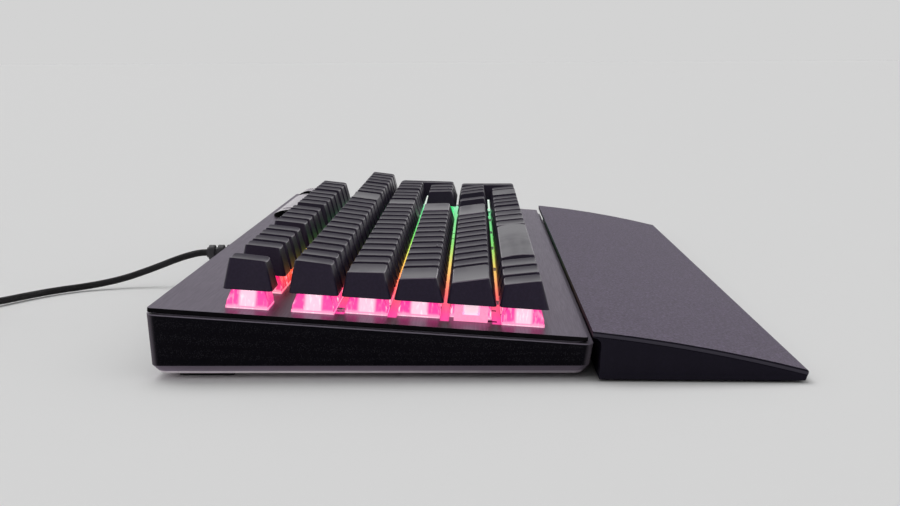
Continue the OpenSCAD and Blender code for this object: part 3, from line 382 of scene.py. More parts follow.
@dataclass(frozen=True)
class CasePlastic(Finish):
    """Fine sparkling grain on the case's walls, a smooth bevel painted paler as a reflection, and
    painted highlights on the edges and corners.
    """

    band_low: float = 2.1 * MM
    band_high: float = 5.3 * MM
    # Paler colour painted on the bevel as a reflection
    band_reflection_colour: Colour = (0.15, 0.125, 0.16)
    line_height: float = 0.8 * MM
    # Painted highlight along the bevel's lower edge, fading towards the front over line_fade
    line_highlight_colour: Colour = (0.95, 0.87, 0.93)
    line_fade: tuple[float, float] = (-30.0 * MM, 70.0 * MM)
    # Painted highlight on the rounded upright corners
    corner_highlight_colour: Colour = (0.14, 0.12, 0.145)
    fleck_size: float = 0.34 * MM
    fleck_rarity: float = 0.6
    fleck_show: float = 0.24
    # How much brighter the bevel's painted reflection is at the back than at the front
    band_gain: float = 1.55
    fleck_colour: Colour = (0.10, 0.097, 0.115)
    # Painted highlight along the upper edge, just under the plate
    edge_highlight_colour: Colour = (0.20, 0.175, 0.22)
    edge_start: tuple[float, float] = PLATE_FRONT
    edge_drop: float = 2.7 * MM
    edge_height: float = 0.7 * MM
    tilt: float = TILT

    def paint(self, graph: Graph, place: Socket) -> dict[str, object]:
        """Draws grain and flecks on the walls; paints the bevel paler as a reflection, and
        highlights on its lower edge, the upper edge and the corners.
        """
        drawn = super().paint(graph, place)
        _, depth, height = graph.parts(place)
        wall = graph.ramp(height, self.band_high - 0.25 * MM, self.band_high)
        # The band along the upper edge, measured from the plate's slope, takes a painted highlight
        rise = graph.times(graph.less(height, self.edge_start[1]), math.cos(self.tilt))
        run = graph.times(graph.less(depth, self.edge_start[0]), math.sin(self.tilt))
        level = graph.less(rise, run)
        over = graph.ramp(level, -self.edge_drop, 0.15 * MM - self.edge_drop)
        top = self.edge_height - self.edge_drop
        under = graph.ramp(level, top, top + 0.1 * MM, 1.0, 0.0)
        edge = graph.times(over, under)
        fleck = FLECKS.use(
            graph, place, scale=1.0 / self.fleck_size, rarity=self.fleck_rarity
        )["Mask"]
        speckled = graph.blend(
            graph.times(fleck, self.fleck_show), drawn["Base Color"], self.fleck_colour
        )
        facing = graph.add("NewGeometry").outputs["True Normal"]
        turned = graph.unsigned(graph.parts(facing)[1])
        straight = graph.ramp(turned, 0.985, 0.998, 1.0, 0.0)
        # Painted highlight on the rounded corners, chosen by the face's normal
        corner = graph.times(graph.ramp(turned, 0.25, 0.92), straight)
        cornered = graph.blend(corner, speckled, self.corner_highlight_colour)
        edged = graph.blend(edge, cornered, self.edge_highlight_colour)
        # Painted reflection on the bevel: lighter low down and towards the back
        shade = graph.ramp(height, self.band_low, self.band_high, 1.3, 0.8)
        strong = graph.times(shade, graph.ramp(depth, *self.line_fade, 1.0, self.band_gain))
        plain = graph.scaled(self.band_reflection_colour, strong)
        # Painted highlight line along the bevel's lower edge, fading towards the front
        line_top = self.band_low + self.line_height
        line = graph.ramp(height, line_top, line_top + 0.2 * MM, 1.0, 0.0)
        fade = graph.ramp(depth, *self.line_fade, 0.25, 1.0)
        band = graph.blend(graph.times(line, fade), plain, self.line_highlight_colour)
        grain = GRAIN.use(graph, place, scale=1.0 / self.grain_size)
        coarse = graph.times(wall, graph.less(1.0, edge))
        relief = graph.times(graph.plus(grain["Height"], graph.times(fleck, 0.5)), coarse)
        return {
            "Base Color": graph.blend(wall, band, edged),
            "Roughness": graph.mixed(coarse, 0.34, drawn["Roughness"]),
            "Normal": graph.bump(relief, self.grain_depth),
        }


@dataclass(frozen=True)
class CapPlastic(Finish):
    """Keycap plastic with a highlight painted paler on the rounded rim of the top, which is also
    less rough.
    """

    # Paler colour painted on the rim as a highlight
    rim_highlight_colour: Colour = (0.16, 0.13, 0.17)
    rim_gloss: float = 0.22

    def paint(self, graph: Graph, place: Socket) -> dict[str, object]:
        """Paints a paler highlight on the rim where the surface turns from the top into a side, and
        makes it less rough.
        """
        drawn = super().paint(graph, place)
        upward = graph.parts(graph.add("NewGeometry").outputs["Normal"])[2]
        rim = graph.times(graph.ramp(upward, 0.42, 0.6), graph.ramp(upward, 0.9, 0.96, 1.0, 0.0))
        rough = graph.mixed(rim, drawn["Roughness"], self.rim_gloss)
        # Painted highlight on the rim
        colour = graph.blend(rim, drawn["Base Color"], self.rim_highlight_colour)
        return {**drawn, "Base Color": colour, "Roughness": rough}


@dataclass(frozen=True)
class SkinEdgeHighlight(Finish):
    """The cut edge of a curved skin: its dark upper part over a paler band painted as a highlight.
    """

    low_end: tuple[float, float] = (-116.8891 * MM, 4.6 * MM)
    high_end: tuple[float, float] = (-41.4891 * MM, 18.0 * MM)
    radius: float = 540.0 * MM
    skin: float = 0.6 * MM
    # The painted highlight band reaches this far under the top
    highlight_bottom: float = 1.75 * MM
    # Colour of the painted highlight band
    highlight_colour: Colour = (0.05, 0.045, 0.062)

    def paint(self, graph: Graph, place: Socket) -> dict[str, object]:
        """Paints the highlight as a band at an even depth under the skin's curved top."""
        drawn = super().paint(graph, place)
        low, high = Vector(self.low_end), Vector(self.high_end)
        chord = high - low
        side = Vector((chord.y, -chord.x)).normalized()
        centre = (low + high) / 2 + side * math.sqrt(self.radius**2 - chord.length_squared / 4)
        _, depth, height = graph.parts(place)
        run, rise = graph.less(depth, centre.x), graph.less(height, centre.y)
        reach = graph.maths("SQRT", graph.plus(graph.times(run, run), graph.times(rise, rise)))
        top, bottom = self.radius - self.skin, self.radius - self.highlight_bottom
        under = graph.ramp(reach, top - 0.1 * MM, top, 1.0, 0.0)
        band = graph.times(under, graph.ramp(reach, bottom, bottom + 0.1 * MM))
        # Painted highlight band on the edge, below the dark skin
        return {**drawn, "Base Color": graph.blend(band, drawn["Base Color"], self.highlight_colour)}


@dataclass(frozen=True)
class BrushedMetal(Finish):
    """Brushed and anodised sheet metal."""

    line_size: float = 0.35 * MM
    line_depth: float = 0.004 * MM
    line_show: float = 0.35

    def paint(self, graph: Graph, place: Socket) -> dict[str, object]:
        """Draws fine lines along X under the marks of use."""
        drawn = super().paint(graph, place)
        lines = BRUSHED.use(graph, place, scale=1.0 / self.line_size)
        dark = tuple(0.6 * c for c in self.colour)
        shown = graph.times(lines["Tone"], self.line_show)
        shaded = graph.blend(shown, drawn["Base Color"], dark)
        rough = graph.plus(drawn["Roughness"], graph.times(lines["Tone"], 0.08))
        return {
            "Base Color": shaded, "Roughness": rough,
            "Normal": graph.bump(lines["Height"], self.line_depth, normal=drawn["Normal"]),
        }


@dataclass(frozen=True)
class BraidedSleeve(Finish):
    """Woven sleeve of a cord, laid on the cord's own UV map."""

    strands: float = 8.0
    braid_depth: float = 0.28 * MM
    repeats: float = 900.0

    def paint(self, graph: Graph, place: Socket) -> dict[str, object]:
        """Draws the crossing strands round and along the cord."""
        drawn = super().paint(graph, place)
        weave = BRAID.use(graph, graph.uv("Cord"), strands=self.strands, pitch=self.repeats)
        dark = tuple(0.25 * c for c in self.colour)
        shaded = graph.blend(weave["Tone"], dark, drawn["Base Color"])
        return {
            "Base Color": shaded, "Roughness": drawn["Roughness"],
            "Normal": graph.bump(weave["Height"], self.braid_depth, normal=drawn["Normal"]),
        }


@dataclass(frozen=True)
class LightRun:
    """The lights' colours along the keyboard: pink, red, orange, yellow, then green."""

    half_length: float = 223.7 * MM
    hues: tuple[tuple[float, str], ...] = (
        (0.0, "FF35A0"), (0.05, "FF2E96"), (0.10, "FF1E74"), (0.14, "FF1640"), (0.175, "FF2410"),
        (0.22, "FF640A"), (0.29, "FFAC10"), (0.36, "F8CC18"), (0.44, "B8DC20"), (0.53, "60DC30"),
        (0.64, "20DC48"), (0.82, "10D868"), (1.0, "14D490"),
    )

    def colour(self, graph: Graph, place: Socket) -> Socket:
        """Gives the light's colour at a place along the keyboard."""
        along = graph.ramp(graph.parts(place)[0], -self.half_length, self.half_length)
        along.node.interpolation_type = "LINEAR"
        ramp = graph.add("ValToRGB", {0: along})
        stops = ramp.color_ramp.elements
        while len(stops) < len(self.hues):
            stops.new(0.5)
        for stop, (where, code) in zip(stops, self.hues):
            stop.position = where
            stop.color = (*hex_colour(code), 1.0)
        return ramp.outputs[0]


@dataclass(frozen=True)
class LitPlate(BrushedMetal):
    """The brushed plate with the light of the switches lying in the lanes between their rows."""

    lights: LightRun = LightRun()
    strength: float = 1.0
    tilt: float = TILT
    first_row: float = -26.92 * MM
    pitch: float = KEY_UNIT
    rows: int = 5
    lane_start: float = 7.5 * MM
    near_end: float = -211.5 * MM
    far_end: float = 213.0 * MM
    spill: float = 7.0 * MM
    spill_power: float = 0.03

    def paint(self, graph: Graph, place: Socket) -> dict[str, object]:
        """Adds the light on the plate: bright in the lanes, and faint before the near switches."""
        drawn = super().paint(graph, place)
        along, depth, _ = graph.parts(place)
        pitch = self.pitch * math.cos(self.tilt)
        row = graph.maths("DIVIDE", graph.less(depth, self.first_row), pitch)
        off = graph.times(graph.unsigned(graph.less(graph.maths("FRACT", row), 0.5)), self.pitch)
        lane = graph.ramp(off, self.lane_start, self.lane_start + 0.8 * MM)
        last = graph.ramp(row, self.rows - 0.3, self.rows - 0.15, 1.0, 0.0)
        inside = graph.times(graph.ramp(row, 0.15, 0.3), last)
        near = graph.ramp(along, self.near_end, self.near_end + 3.0 * MM)
        far = graph.ramp(along, self.far_end, self.far_end + 4.0 * MM, 1.0, 0.0)
        rise = graph.ramp(along, self.near_end - self.spill, self.near_end)
        before = graph.times(rise, self.spill_power)
        lit = graph.larger(graph.times(lane, graph.times(near, far)), before)
        power = graph.times(inside, lit)
        white = graph.ramp(along, self.near_end, 0.6 * self.near_end, 0.02, 0.16)
        hue = graph.blend(white, self.lights.colour(graph, place), (1.0, 0.9, 0.8))
        return {**drawn, "Emission Color": graph.scaled(hue, power)}

    def fixed(self) -> dict[str, object]:
        """Adds the light's strength."""
        return {**super().fixed(), "Emission Strength": self.strength}


@dataclass(frozen=True)
class LitPlastic(Finish):
    """Clear plastic lit from inside in the hues of the lights under it."""

    lights: LightRun = LightRun()
    strength: float = 5.0

    def paint(self, graph: Graph, place: Socket) -> dict[str, object]:
        """Draws the lit window in the middle of each side, bright edges and faint flow lines."""
        drawn = super().paint(graph, place)
        plan = graph.parts(graph.uv("Switch"))
        half = graph.maths("MINIMUM", graph.unsigned(plan[0]), graph.unsigned(plan[1]))
        flow = graph.noise(graph.stretched(place, (1.0, 1.0, 0.25)), 900.0, 2.0)
        window = graph.ramp(graph.plus(half, graph.times(flow, 0.05)), 0.30, 0.52, 0.66, 0.0)
        edge = graph.times(graph.ramp(half, 0.84, 0.95), graph.ramp(flow, 0.45, 0.6, 0.1, 0.7))
        level, power, _ = graph.parts(graph.uv("SwitchHeight"))
        foot = graph.ramp(level, 0.0, 0.3, 0.55, 0.0)
        lines = graph.times(graph.ramp(flow, 0.5, 0.72), 0.25)
        bright = graph.plus(graph.larger(graph.larger(window, edge), foot), lines)
        white = graph.maths("MINIMUM", bright, 0.9)
        lit = graph.blend(white, self.lights.colour(graph, place), (1.0, 0.84, 0.92))
        return {**drawn, "Emission Color": graph.scaled(lit, power)}

    def fixed(self) -> dict[str, object]:
        """Adds the light's strength."""
        return {**super().fixed(), "Emission Strength": self.strength}


@dataclass(frozen=True)
class LampLens(LitPlastic):
    """The small lens of a light, or clear plastic beside it, in the light's hue."""

    pale: float = 0.5

    def paint(self, graph: Graph, place: Socket) -> dict[str, object]:
        """Draws the plain hue."""
        drawn = Finish.paint(self, graph, place)
        hue = graph.blend(self.pale, self.lights.colour(graph, place), (1.0, 0.9, 0.95))
        return {**drawn, "Emission Color": hue}


class Finishes:
    """Every finish of the keyboard, by what it is on."""

    VIOLET_SHEEN = (0.93, 0.86, 1.0)
    KEYCAP = CapPlastic(
        "KeycapBlack", (0.0225, 0.0160, 0.0335), 0.30, specular=0.2, sheen_tint=VIOLET_SHEEN,
        grain_size=0.45 * MM, grain_depth=0.0035 * MM, marks=0.10,
    )
    PLATE = LitPlate(
        "PlateAnodised", (0.080, 0.069, 0.085), 0.34, metallic=0.8, sheen_tint=VIOLET_SHEEN,
        grain_size=0.3 * MM, grain_depth=0.008 * MM, marks=0.015, line_show=0.03,
        line_depth=0.0004 * MM,
    )
    # Near-black finish painted on side and end faces as shade: the plate's sides, the strip's sides
    # and ends, and the roller's ends
    EDGE_SHADE = Finish(
        "PaintedEdgeShade", (0.003, 0.0025, 0.0035), 0.6, specular=0.04, grain_depth=0.004 * MM
    )
    CASE = CasePlastic(
        "TrayGrained", (0.0028, 0.0022, 0.0045), 0.6, specular=0.05, grain_size=0.5 * MM,
        grain_depth=0.04 * MM, marks=0.03,
    )
    CASE_SMOOTH = Finish("FootPlastic", (0.009, 0.0085, 0.011), 0.5, specular=0.35)
    REST = Finish(
        "RestSides", (0.0065, 0.0045, 0.0125), 0.5, specular=0.12, grain_size=0.6 * MM,
        grain_depth=0.02 * MM, marks=0.05,
    )
    REST_EDGE = SkinEdgeHighlight("RestSkinEdge", (0.0065, 0.0045, 0.0125), 0.5, specular=0.12)
    REST_TOP = Finish(
        "RestSoftTop", (0.093, 0.069, 0.118), 0.6, specular=0.4, grain_size=0.5 * MM,
        grain_depth=0.07 * MM, tone=0.55, marks=0.02,
    )
    RUBBER = Finish(
        "Rubber", (0.012, 0.012, 0.013), 0.75, specular=0.3, grain_size=0.6 * MM,
        grain_depth=0.03 * MM,
    )
    RELIEF = Finish(
        "ReliefRubber", (0.030, 0.027, 0.033), 0.5, specular=0.45, grain_size=0.4 * MM,
        grain_depth=0.01 * MM,
    )
    CORD = BraidedSleeve(
        "CordBraid", (0.014, 0.0125, 0.0155), 0.6, specular=0.4, grain_size=0.3 * MM,
        grain_depth=0.01 * MM,
    )
    STRAP = Finish(
        "StrapFabric", (0.03, 0.03, 0.036), 0.85, specular=0.2, grain_size=0.5 * MM,
        grain_depth=0.12 * MM,
    )
    PLUG = Finish(
        "PlugPlastic", (0.014, 0.014, 0.016), 0.45, grain_size=0.4 * MM, grain_depth=0.012 * MM
    )
    SHELL = Finish("PlugShell", (0.62, 0.62, 0.64), 0.28, metallic=1.0, grain_depth=0.003 * MM)
    STRIP = BrushedMetal(
        "StripBright", (0.62, 0.58, 0.63), 0.30, metallic=1.0, grain_depth=0.003 * MM
    )
    ROLLER = Finish("RollerBright", (0.60, 0.56, 0.61), 0.34, metallic=1.0, grain_depth=0.004 * MM)
    SWITCH = LitPlastic(
        "SwitchClear", (0.15, 0.11, 0.14), 0.2, specular=0.35, grain_depth=0.004 * MM, marks=0.03
    )
    LENS = LampLens("LampLens", (0.6, 0.58, 0.6), 0.15, grain_depth=0.002 * MM, strength=8.0)
    CLEAR_BASE = LampLens(
        "ClearLower", (0.4, 0.38, 0.4), 0.3, strength=1.0, pale=0.25, grain_depth=0.004 * MM
    )
    STEM = LampLens(
        "StemPale", (0.62, 0.61, 0.63), 0.42, grain_depth=0.004 * MM, strength=0.8, pale=0.75
    )
    TONGUE = Finish("TonguePale", (0.62, 0.61, 0.63), 0.42, grain_depth=0.004 * MM)
    SPRING = Finish("SpringSteel", (0.55, 0.54, 0.52), 0.25, metallic=1.0, grain_depth=0.003 * MM)
    SCREW = Finish("ScrewSteel", (0.42, 0.40, 0.42), 0.35, metallic=1.0, grain_depth=0.004 * MM)
    BOARD = Finish("BoardLacquer", (0.008, 0.03, 0.016), 0.35, coat=0.3, grain_depth=0.004 * MM)
    MAGNET = Finish("MagnetNickel", (0.6, 0.59, 0.57), 0.2, metallic=1.0, grain_depth=0.002 * MM)
    FLOOR = Finish(
        "FloorPaper", (0.8, 0.8, 0.8), 0.9, specular=0.1, tone=0.0, marks=0.0, grain_depth=0.0
    )


class Parts:
    """Turns bmeshes and CAD nodes into dressed pieces on their bodies."""

    count = 0
    weld = 0.002 * MM
    flat = math.radians(1.0)

    @staticmethod
    def piece(
        name: str, mesh: BMesh, finish: Finish, body: str, slot: str,
        stands_for: Sequence[str] = (), crease: float = 32.0,
    ) -> Piece:
        """Makes an object from a bmesh, dresses it and puts it on its body.

        Args:
            name: The piece's name.
            mesh: Its shape in the shared frame; it is freed here.
            finish: Its finish.
            body: The CAD body it rides on.
            slot: The record's material slot; not used.
            stands_for: The CAD nodes that it replaces.
            crease: Edges that turn more than this many degrees stay sharp.

        Returns:
            The new object.
        """
        for face in mesh.faces:
            face.smooth = True
        for edge in mesh.edges:
            soft = edge.calc_face_angle(0.0) < math.radians(crease)
            edge.smooth = len(edge.link_faces) == 2 and soft
        data = bpy.data.meshes.new(name)
        mesh.to_mesh(data)
        mesh.free()
        return Parts.dress(put_in_scene(name, data), finish, body, slot, stands_for)

    @staticmethod
    def dress(
        made: Piece, finish: Finish, body: str, slot: str, stands_for: Sequence[str] = ()
    ) -> Piece:
        """Gives an object its finish and body, and hides the nodes that it replaces."""
        made.data.materials.clear()
        made.data.materials.append(finish.material())
        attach(made, body)
        if stands_for:
            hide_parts(*stands_for)
        Parts.count += 1
        LOG.info("%s: %s on %s", made.name, finish.name, body)
        return made

    @staticmethod
    def even_shading(made: Piece) -> None:
        """Keeps broad flat faces flat beside their small rounded edges."""
        made.modifiers.new("EvenShading", "WEIGHTED_NORMAL").keep_sharp = True

    @staticmethod
    def finish_edges(
        made: Piece, finish: Finish, keeps: Callable[[Vector], bool] = lambda normal: normal.z > 0.6
    ) -> None:
        """Gives some faces a second finish, by the way they look.

        Args:
            made: The piece, with its main finish on it.
            finish: The second finish.
            keeps: Says from a face's normal whether it keeps the main finish. Faces that look
                up do by default.
        """
        made.data.materials.append(finish.material())
        for face in made.data.polygons:
            face.material_index = 0 if keeps(face.normal) else 1

    @staticmethod
    def refinish(finishes: dict[str, Finish]) -> None:
        """Gives CAD nodes that keep their shape a better material each."""
        for node, finish in finishes.items():
            held = bpy.data.objects[node]
            if not held.material_slots:
                held.data.materials.append(finish.material())
            for each in held.material_slots:
                each.material = finish.material()
            LOG.info("%s: %s", node, finish.name)

    @staticmethod
    def softened(
        node: str, name: str, finish: Finish, body: str, slot: str, width: float, segments: int = 2,
        angle: float = 35.0,
    ) -> Piece:
        """Copies a CAD node's shape and rounds its edges.

        Args:
            node: The CAD node, which the copy replaces.
            name: The new piece's name.
            finish: Its finish.
            body: The body it rides on.
            slot: The record's material slot; not used.
            width: Width of the rounding.
            segments: Steps in the rounding.
            angle: Edges sharper than this, in degrees, are rounded.

        Returns:
            The new piece.
        """
        mesh = bmesh.new()
        mesh.from_mesh(bpy.data.objects[node].data)
        bmesh.ops.remove_doubles(mesh, verts=mesh.verts, dist=Parts.weld)
        bmesh.ops.dissolve_limit(mesh, angle_limit=Parts.flat, verts=mesh.verts, edges=mesh.edges)
        made = Parts.piece(name, mesh, finish, body, slot, [node], crease=angle)
        rounding = made.modifiers.new("Rounding", "BEVEL")
        rounding.width, rounding.segments = width, segments
        rounding.limit_method, rounding.angle_limit = "ANGLE", math.radians(angle)
        rounding.use_clamp_overlap = True
        rounding.harden_normals = False
        Parts.even_shading(made)
        return made


@dataclass
class Deck:
    """The tilted plane of the plate's top, on which the keys stand in a grid."""

    unit: float = KEY_UNIT
    tilt: float = TILT
    plate_width: float = 447.425 * MM
    plate_front: tuple[float, float] = PLATE_FRONT
    side_margin: float = 9.4 * MM
    front_margin: float = 13.2 * MM
    tall_row: int = 5
    tall_row_gap: float = 4.76 * MM

    def frame(self) -> Matrix:
        """Gives the plate's own frame: X and Y from its front left corner, Z from its top."""
        corner = Matrix.Translation((-self.plate_width / 2, *self.plate_front))
        return corner @ Matrix.Rotation(self.tilt, 4, "X")

    def spot(self, key: Sequence[float]) -> Matrix:
        """Gives the frame of one key's middle.

        Args:
            key: Left edge, row, width and depth in key units.

        Returns:
            The key's frame on the plate.
        """
        x = self.side_margin + (key[0] + key[2] / 2) * self.unit
        gap = self.tall_row_gap if key[1] == self.tall_row else 0.0
        y = self.front_margin + (key[1] + key[3] / 2) * self.unit + gap
        return self.frame() @ Matrix.Translation((x, y, 0.0))


def key_run(left: float, row: int, count: int, width: float = 1.0) -> list[tuple[float, ...]]:
    """Lists keys of one width side by side."""
    return [(left + i * width, row, width, 1) for i in range(count)]


KEYS: dict[str, list[tuple[float, ...]]] = {
    "letter": [
        *key_run(1.5, 3, 12), (13.5, 3, 1.5, 1), *key_run(1.75, 2, 11), *key_run(2.25, 1, 10),
    ],
    "number": key_run(0, 4, 13),
    "function": [*key_run(2, 5, 4), *key_run(6.5, 5, 4), *key_run(11, 5, 4)],
    "navigation": [
        *key_run(15.25, 5, 3), *key_run(15.25, 4, 3), *key_run(15.25, 3, 3),
        (16.25, 1, 1, 1), *key_run(15.25, 0, 3),
    ],
    "pad": [
        *key_run(18.5, 4, 4), *key_run(18.5, 3, 3), *key_run(18.5, 2, 3), *key_run(18.5, 1, 3),
        (20.5, 0, 1, 1),
    ],
    "modifier": key_run(0, 0, 3, 1.25) + key_run(10, 0, 4, 1.25),
    "escape": [(0, 5, 1, 1)],
    "backspace": [(13, 4, 2, 1)],
    "tab": [(0, 3, 1.5, 1)],
    "caps_lock": [(0, 2, 1.75, 1)],
    "enter": [(12.75, 2, 2.25, 1)],
    "left_shift": [(0, 1, 2.25, 1)],
    "right_shift": [(12.25, 1, 2.75, 1)],
    "space": [(3.75, 0, 6.25, 1)],
    "pad_zero": [(18.5, 0, 2, 1)],
    "pad_tall": [(21.5, 2, 1, 2), (21.5, 0, 1, 2)],
}


def box(
    mesh: BMesh, low: Sequence[float], high: Sequence[float], turned: Optional[Matrix] = None
) -> list[bmesh.types.BMVert]:
    """Adds a box between two corners.

    Args:
        mesh: Takes the box.
        low: Lowest corner.
        high: Highest corner.
        turned: A frame to place it in.

    Returns:
        The box's vertices.
    """
    low, high = Vector(low), Vector(high)
    size = Matrix.Diagonal((*(high - low), 1.0))
    place = (turned or Matrix()) @ Matrix.Translation((low + high) / 2) @ size
    return bmesh.ops.create_cube(mesh, size=1.0, matrix=place)["verts"]


def rod(
    mesh: BMesh, radius: float, length: float, frame_of: Matrix, sides: int = 24,
    far_radius: Optional[float] = None,
) -> list[bmesh.types.BMVert]:
    """Adds a capped cylinder or cone whose middle is at a frame's origin, along its Z."""
    far = radius if far_radius is None else far_radius
    made = bmesh.ops.create_cone(
        mesh, cap_ends=True, segments=sides, radius1=radius, radius2=far, depth=length,
        matrix=frame_of,
    )
    return made["verts"]


def rounded(
    mesh: BMesh, edges: Iterable[bmesh.types.BMEdge], width: float, segments: int = 2
) -> None:
    """Rounds edges of a bmesh."""
    bmesh.ops.bevel(
        mesh, geom=list(edges), offset=width, offset_type="OFFSET", affect="EDGES",
        segments=segments, profile=0.5, material=-1, clamp_overlap=True,
    )


def sliced(mesh: BMesh, point: Sequence[float], normal: Sequence[float]) -> None:
    """Cuts every face of a bmesh along a plane."""
    everything = mesh.verts[:] + mesh.edges[:] + mesh.faces[:]
    bmesh.ops.bisect_plane(mesh, geom=everything, dist=ON_PLANE, plane_co=point, plane_no=normal)


def long_edges(mesh: BMesh, axis: int, least: float) -> list[bmesh.types.BMEdge]:
    """Lists the edges that reach further than a length along an axis."""
    return [e for e in mesh.edges if abs(e.verts[0].co[axis] - e.verts[1].co[axis]) > least]


def drawn_out(mesh: BMesh, faces: list[bmesh.types.BMFace]) -> list[bmesh.types.BMVert]:
    """Extrudes faces, drops the old ones and gives the vertices of the new ones, still in place."""
    made = bmesh.ops.extrude_face_region(mesh, geom=faces)
    bmesh.ops.delete(mesh, geom=faces, context="FACES_ONLY")
    return [v for v in made["geom"] if isinstance(v, bmesh.types.BMVert)]


def gather(into: BMesh, one: BMesh, place: Matrix) -> None:
    """Adds a placed copy of one bmesh to another.

    Args:
        into: Takes the copy.
        one: The shape in its own frame, left as it is.
        place: Where the copy goes.
    """
    spare = bpy.data.meshes.new("spare")
    one.to_mesh(spare)
    spare.transform(place)
    into.from_mesh(spare)
    bpy.data.meshes.remove(spare)


class TopForm(Enum):
    """How a keycap's top is hollowed or crowned."""

    DISH = "dish"
    CROWN = "crown"


@dataclass
class Keycaps:
    """Sculpted keycaps: each row has its own height and slope, and a hollow across its top."""

    deck: Deck
    gap: float = 1.05 * MM
    base: float = 7.0 * MM
    front_draft: float = 3.3 * MM
    back_draft: float = 1.3 * MM
    side_draft: float = 2.5 * MM
    corner: float = 1.7 * MM
    rim: float = 0.5 * MM
    rim_above: float = 6.0 * MM
    wall: float = 1.2 * MM
    roof: float = 1.2 * MM
    dish: float = 0.8 * MM
    crown: float = 0.7 * MM
    cuts: int = 7
    cuts_reach: float = 0.94
    inner_share: tuple[float, float] = (0.8, 0.82)
    inner_shift: float = 0.6 * MM
    skirt_edge: float = 0.12 * MM
    bar: tuple[float, float] = (0.32 * MM, 3.6 * MM)
    bar_inset: float = 2.2 * MM
    home: frozenset[tuple[float, int]] = frozenset({(1.75 + 3, 2), (1.75 + 6, 2), (19.5, 2)})
    heights: dict[int, tuple[float, float]] = field(default_factory=lambda: {
        0: (10.3 * MM, 8.1 * MM), 1: (10.1 * MM, 7.5 * MM), 2: (8.9 * MM, 7.7 * MM),
        3: (9.4 * MM, 8.8 * MM), 4: (11.1 * MM, 11.9 * MM), 5: (10.7 * MM, 11.3 * MM),
    })
    single_names: tuple[str, ...] = (
        "escape", "backspace", "tab", "caps_lock", "enter", "left_shift", "right_shift", "pad_zero",
    )

    def node(self, group: str) -> str:
        """Names the CAD node of a group's caps."""
        if group == "space":
            return "space_bar"
        return group + ("_cap" if group in self.single_names else "_caps")

    def body(self, group: str) -> str:
        """Names the body that a group's caps ride on."""
        if group == "space":
            return "space_key"
        return group + ("_key" if group in self.single_names else "_keys")

    def block(self, key: Sequence[float]) -> BMesh:
        """Makes the drafted block of a cap, with its upright corners rounded.

        Args:
            key: Left edge, row, width and depth in key units.

        Returns:
            The block, standing on its skirt at height 0.
        """
        half_w, half_d = (side * self.deck.unit / 2 - self.gap / 2 for side in key[2:])
        front, back = self.heights[key[1]]
        mesh = bmesh.new()
        box(mesh, (-half_w, -half_d, 0.0), (half_w, half_d, 1.0 * MM))
        for vert in [v for v in mesh.verts if v.co.z > 0.5 * MM]:
            rear = vert.co.y > 0
            vert.co.z = back if rear else front
            vert.co.x -= math.copysign(self.side_draft, vert.co.x)
            vert.co.y -= self.back_draft if rear else -self.front_draft
        rounded(mesh, long_edges(mesh, 2, 3 * MM), self.corner, 4)
        return mesh

    def hollow_top(self, mesh: BMesh, key: Sequence[float]) -> None:
        """Hollows the top across its width, or crowns the space bar's from front to back."""
        form = TopForm.CROWN if key[2] > 6 else TopForm.DISH
        axis = 1 if form is TopForm.CROWN else 0
        top = [f for f in mesh.faces if f.normal.z > STRAIGHT]
        reach = [v.co[axis] for f in top for v in f.verts]
        low, high = min(reach), max(reach)
        middle, half = (low + high) / 2, (high - low) / 2
        normal = Vector((1, 0, 0)) if axis == 0 else Vector((0, 1, 0))
        for i in range(self.cuts):
            share = math.sin((2 * (i + 1) / (self.cuts + 1) - 1) * math.pi / 2 * self.cuts_reach)
            point = normal * (middle + half * share)
            sliced(mesh, point, normal)
        for vert in {v for f in mesh.faces if f.normal.z > STRAIGHT for v in f.verts}:
            share = min(1.0, abs(vert.co[axis] - middle) / half)
            bend = self.crown if form is TopForm.CROWN else -self.dish
            vert.co.z += bend * (1.0 - share * share)

    def hollow_inside(self, mesh: BMesh, key: Sequence[float]) -> None:
        """Opens the cap from below, with even walls and a roof."""
        below = [f for f in mesh.faces if f.normal.z < -STRAIGHT]
        inner = bmesh.ops.inset_region(mesh, faces=below, thickness=self.wall, use_even_offset=True)
        kept = [f for f in mesh.faces if f.normal.z < -STRAIGHT and f not in inner["faces"]]
        lift = min(self.heights[key[1]]) - self.roof - self.dish
        half_w = key[2] * self.deck.unit / 2
        for vert in drawn_out(mesh, kept):
            vert.co.z += lift
            vert.co.x *= 1.0 - self.inner_share[0] * self.side_draft / half_w
            vert.co.y = vert.co.y * self.inner_share[1] + self.inner_shift

    def cap(self, key: Sequence[float]) -> BMesh:
        """Makes one keycap in its key's frame."""
        mesh = self.block(key)
        self.hollow_top(mesh, key)
        mesh.normal_update()
        self.hollow_inside(mesh, key)
        mesh.normal_update()
        rim = []
        for edge in (e for e in mesh.edges if len(e.link_faces) == 2):
            lower, upper = sorted(f.normal.z for f in edge.link_faces)
            high = min(v.co.z for v in edge.verts) > self.rim_above
            if high and upper > STRAIGHT and -0.5 < lower < 0.6:
                rim.append(edge)
        rounded(mesh, rim, self.rim, 2)
        foot = [e for e in mesh.edges if max(v.co.z for v in e.verts) < 0.01 * MM]
        skirt = [e for e in foot if any(abs(f.normal.z) < 0.5 for f in e.link_faces)]
        rounded(mesh, skirt, self.skirt_edge, 1)
        bmesh.ops.translate(mesh, verts=mesh.verts, vec=(0.0, 0.0, self.base))
        return mesh

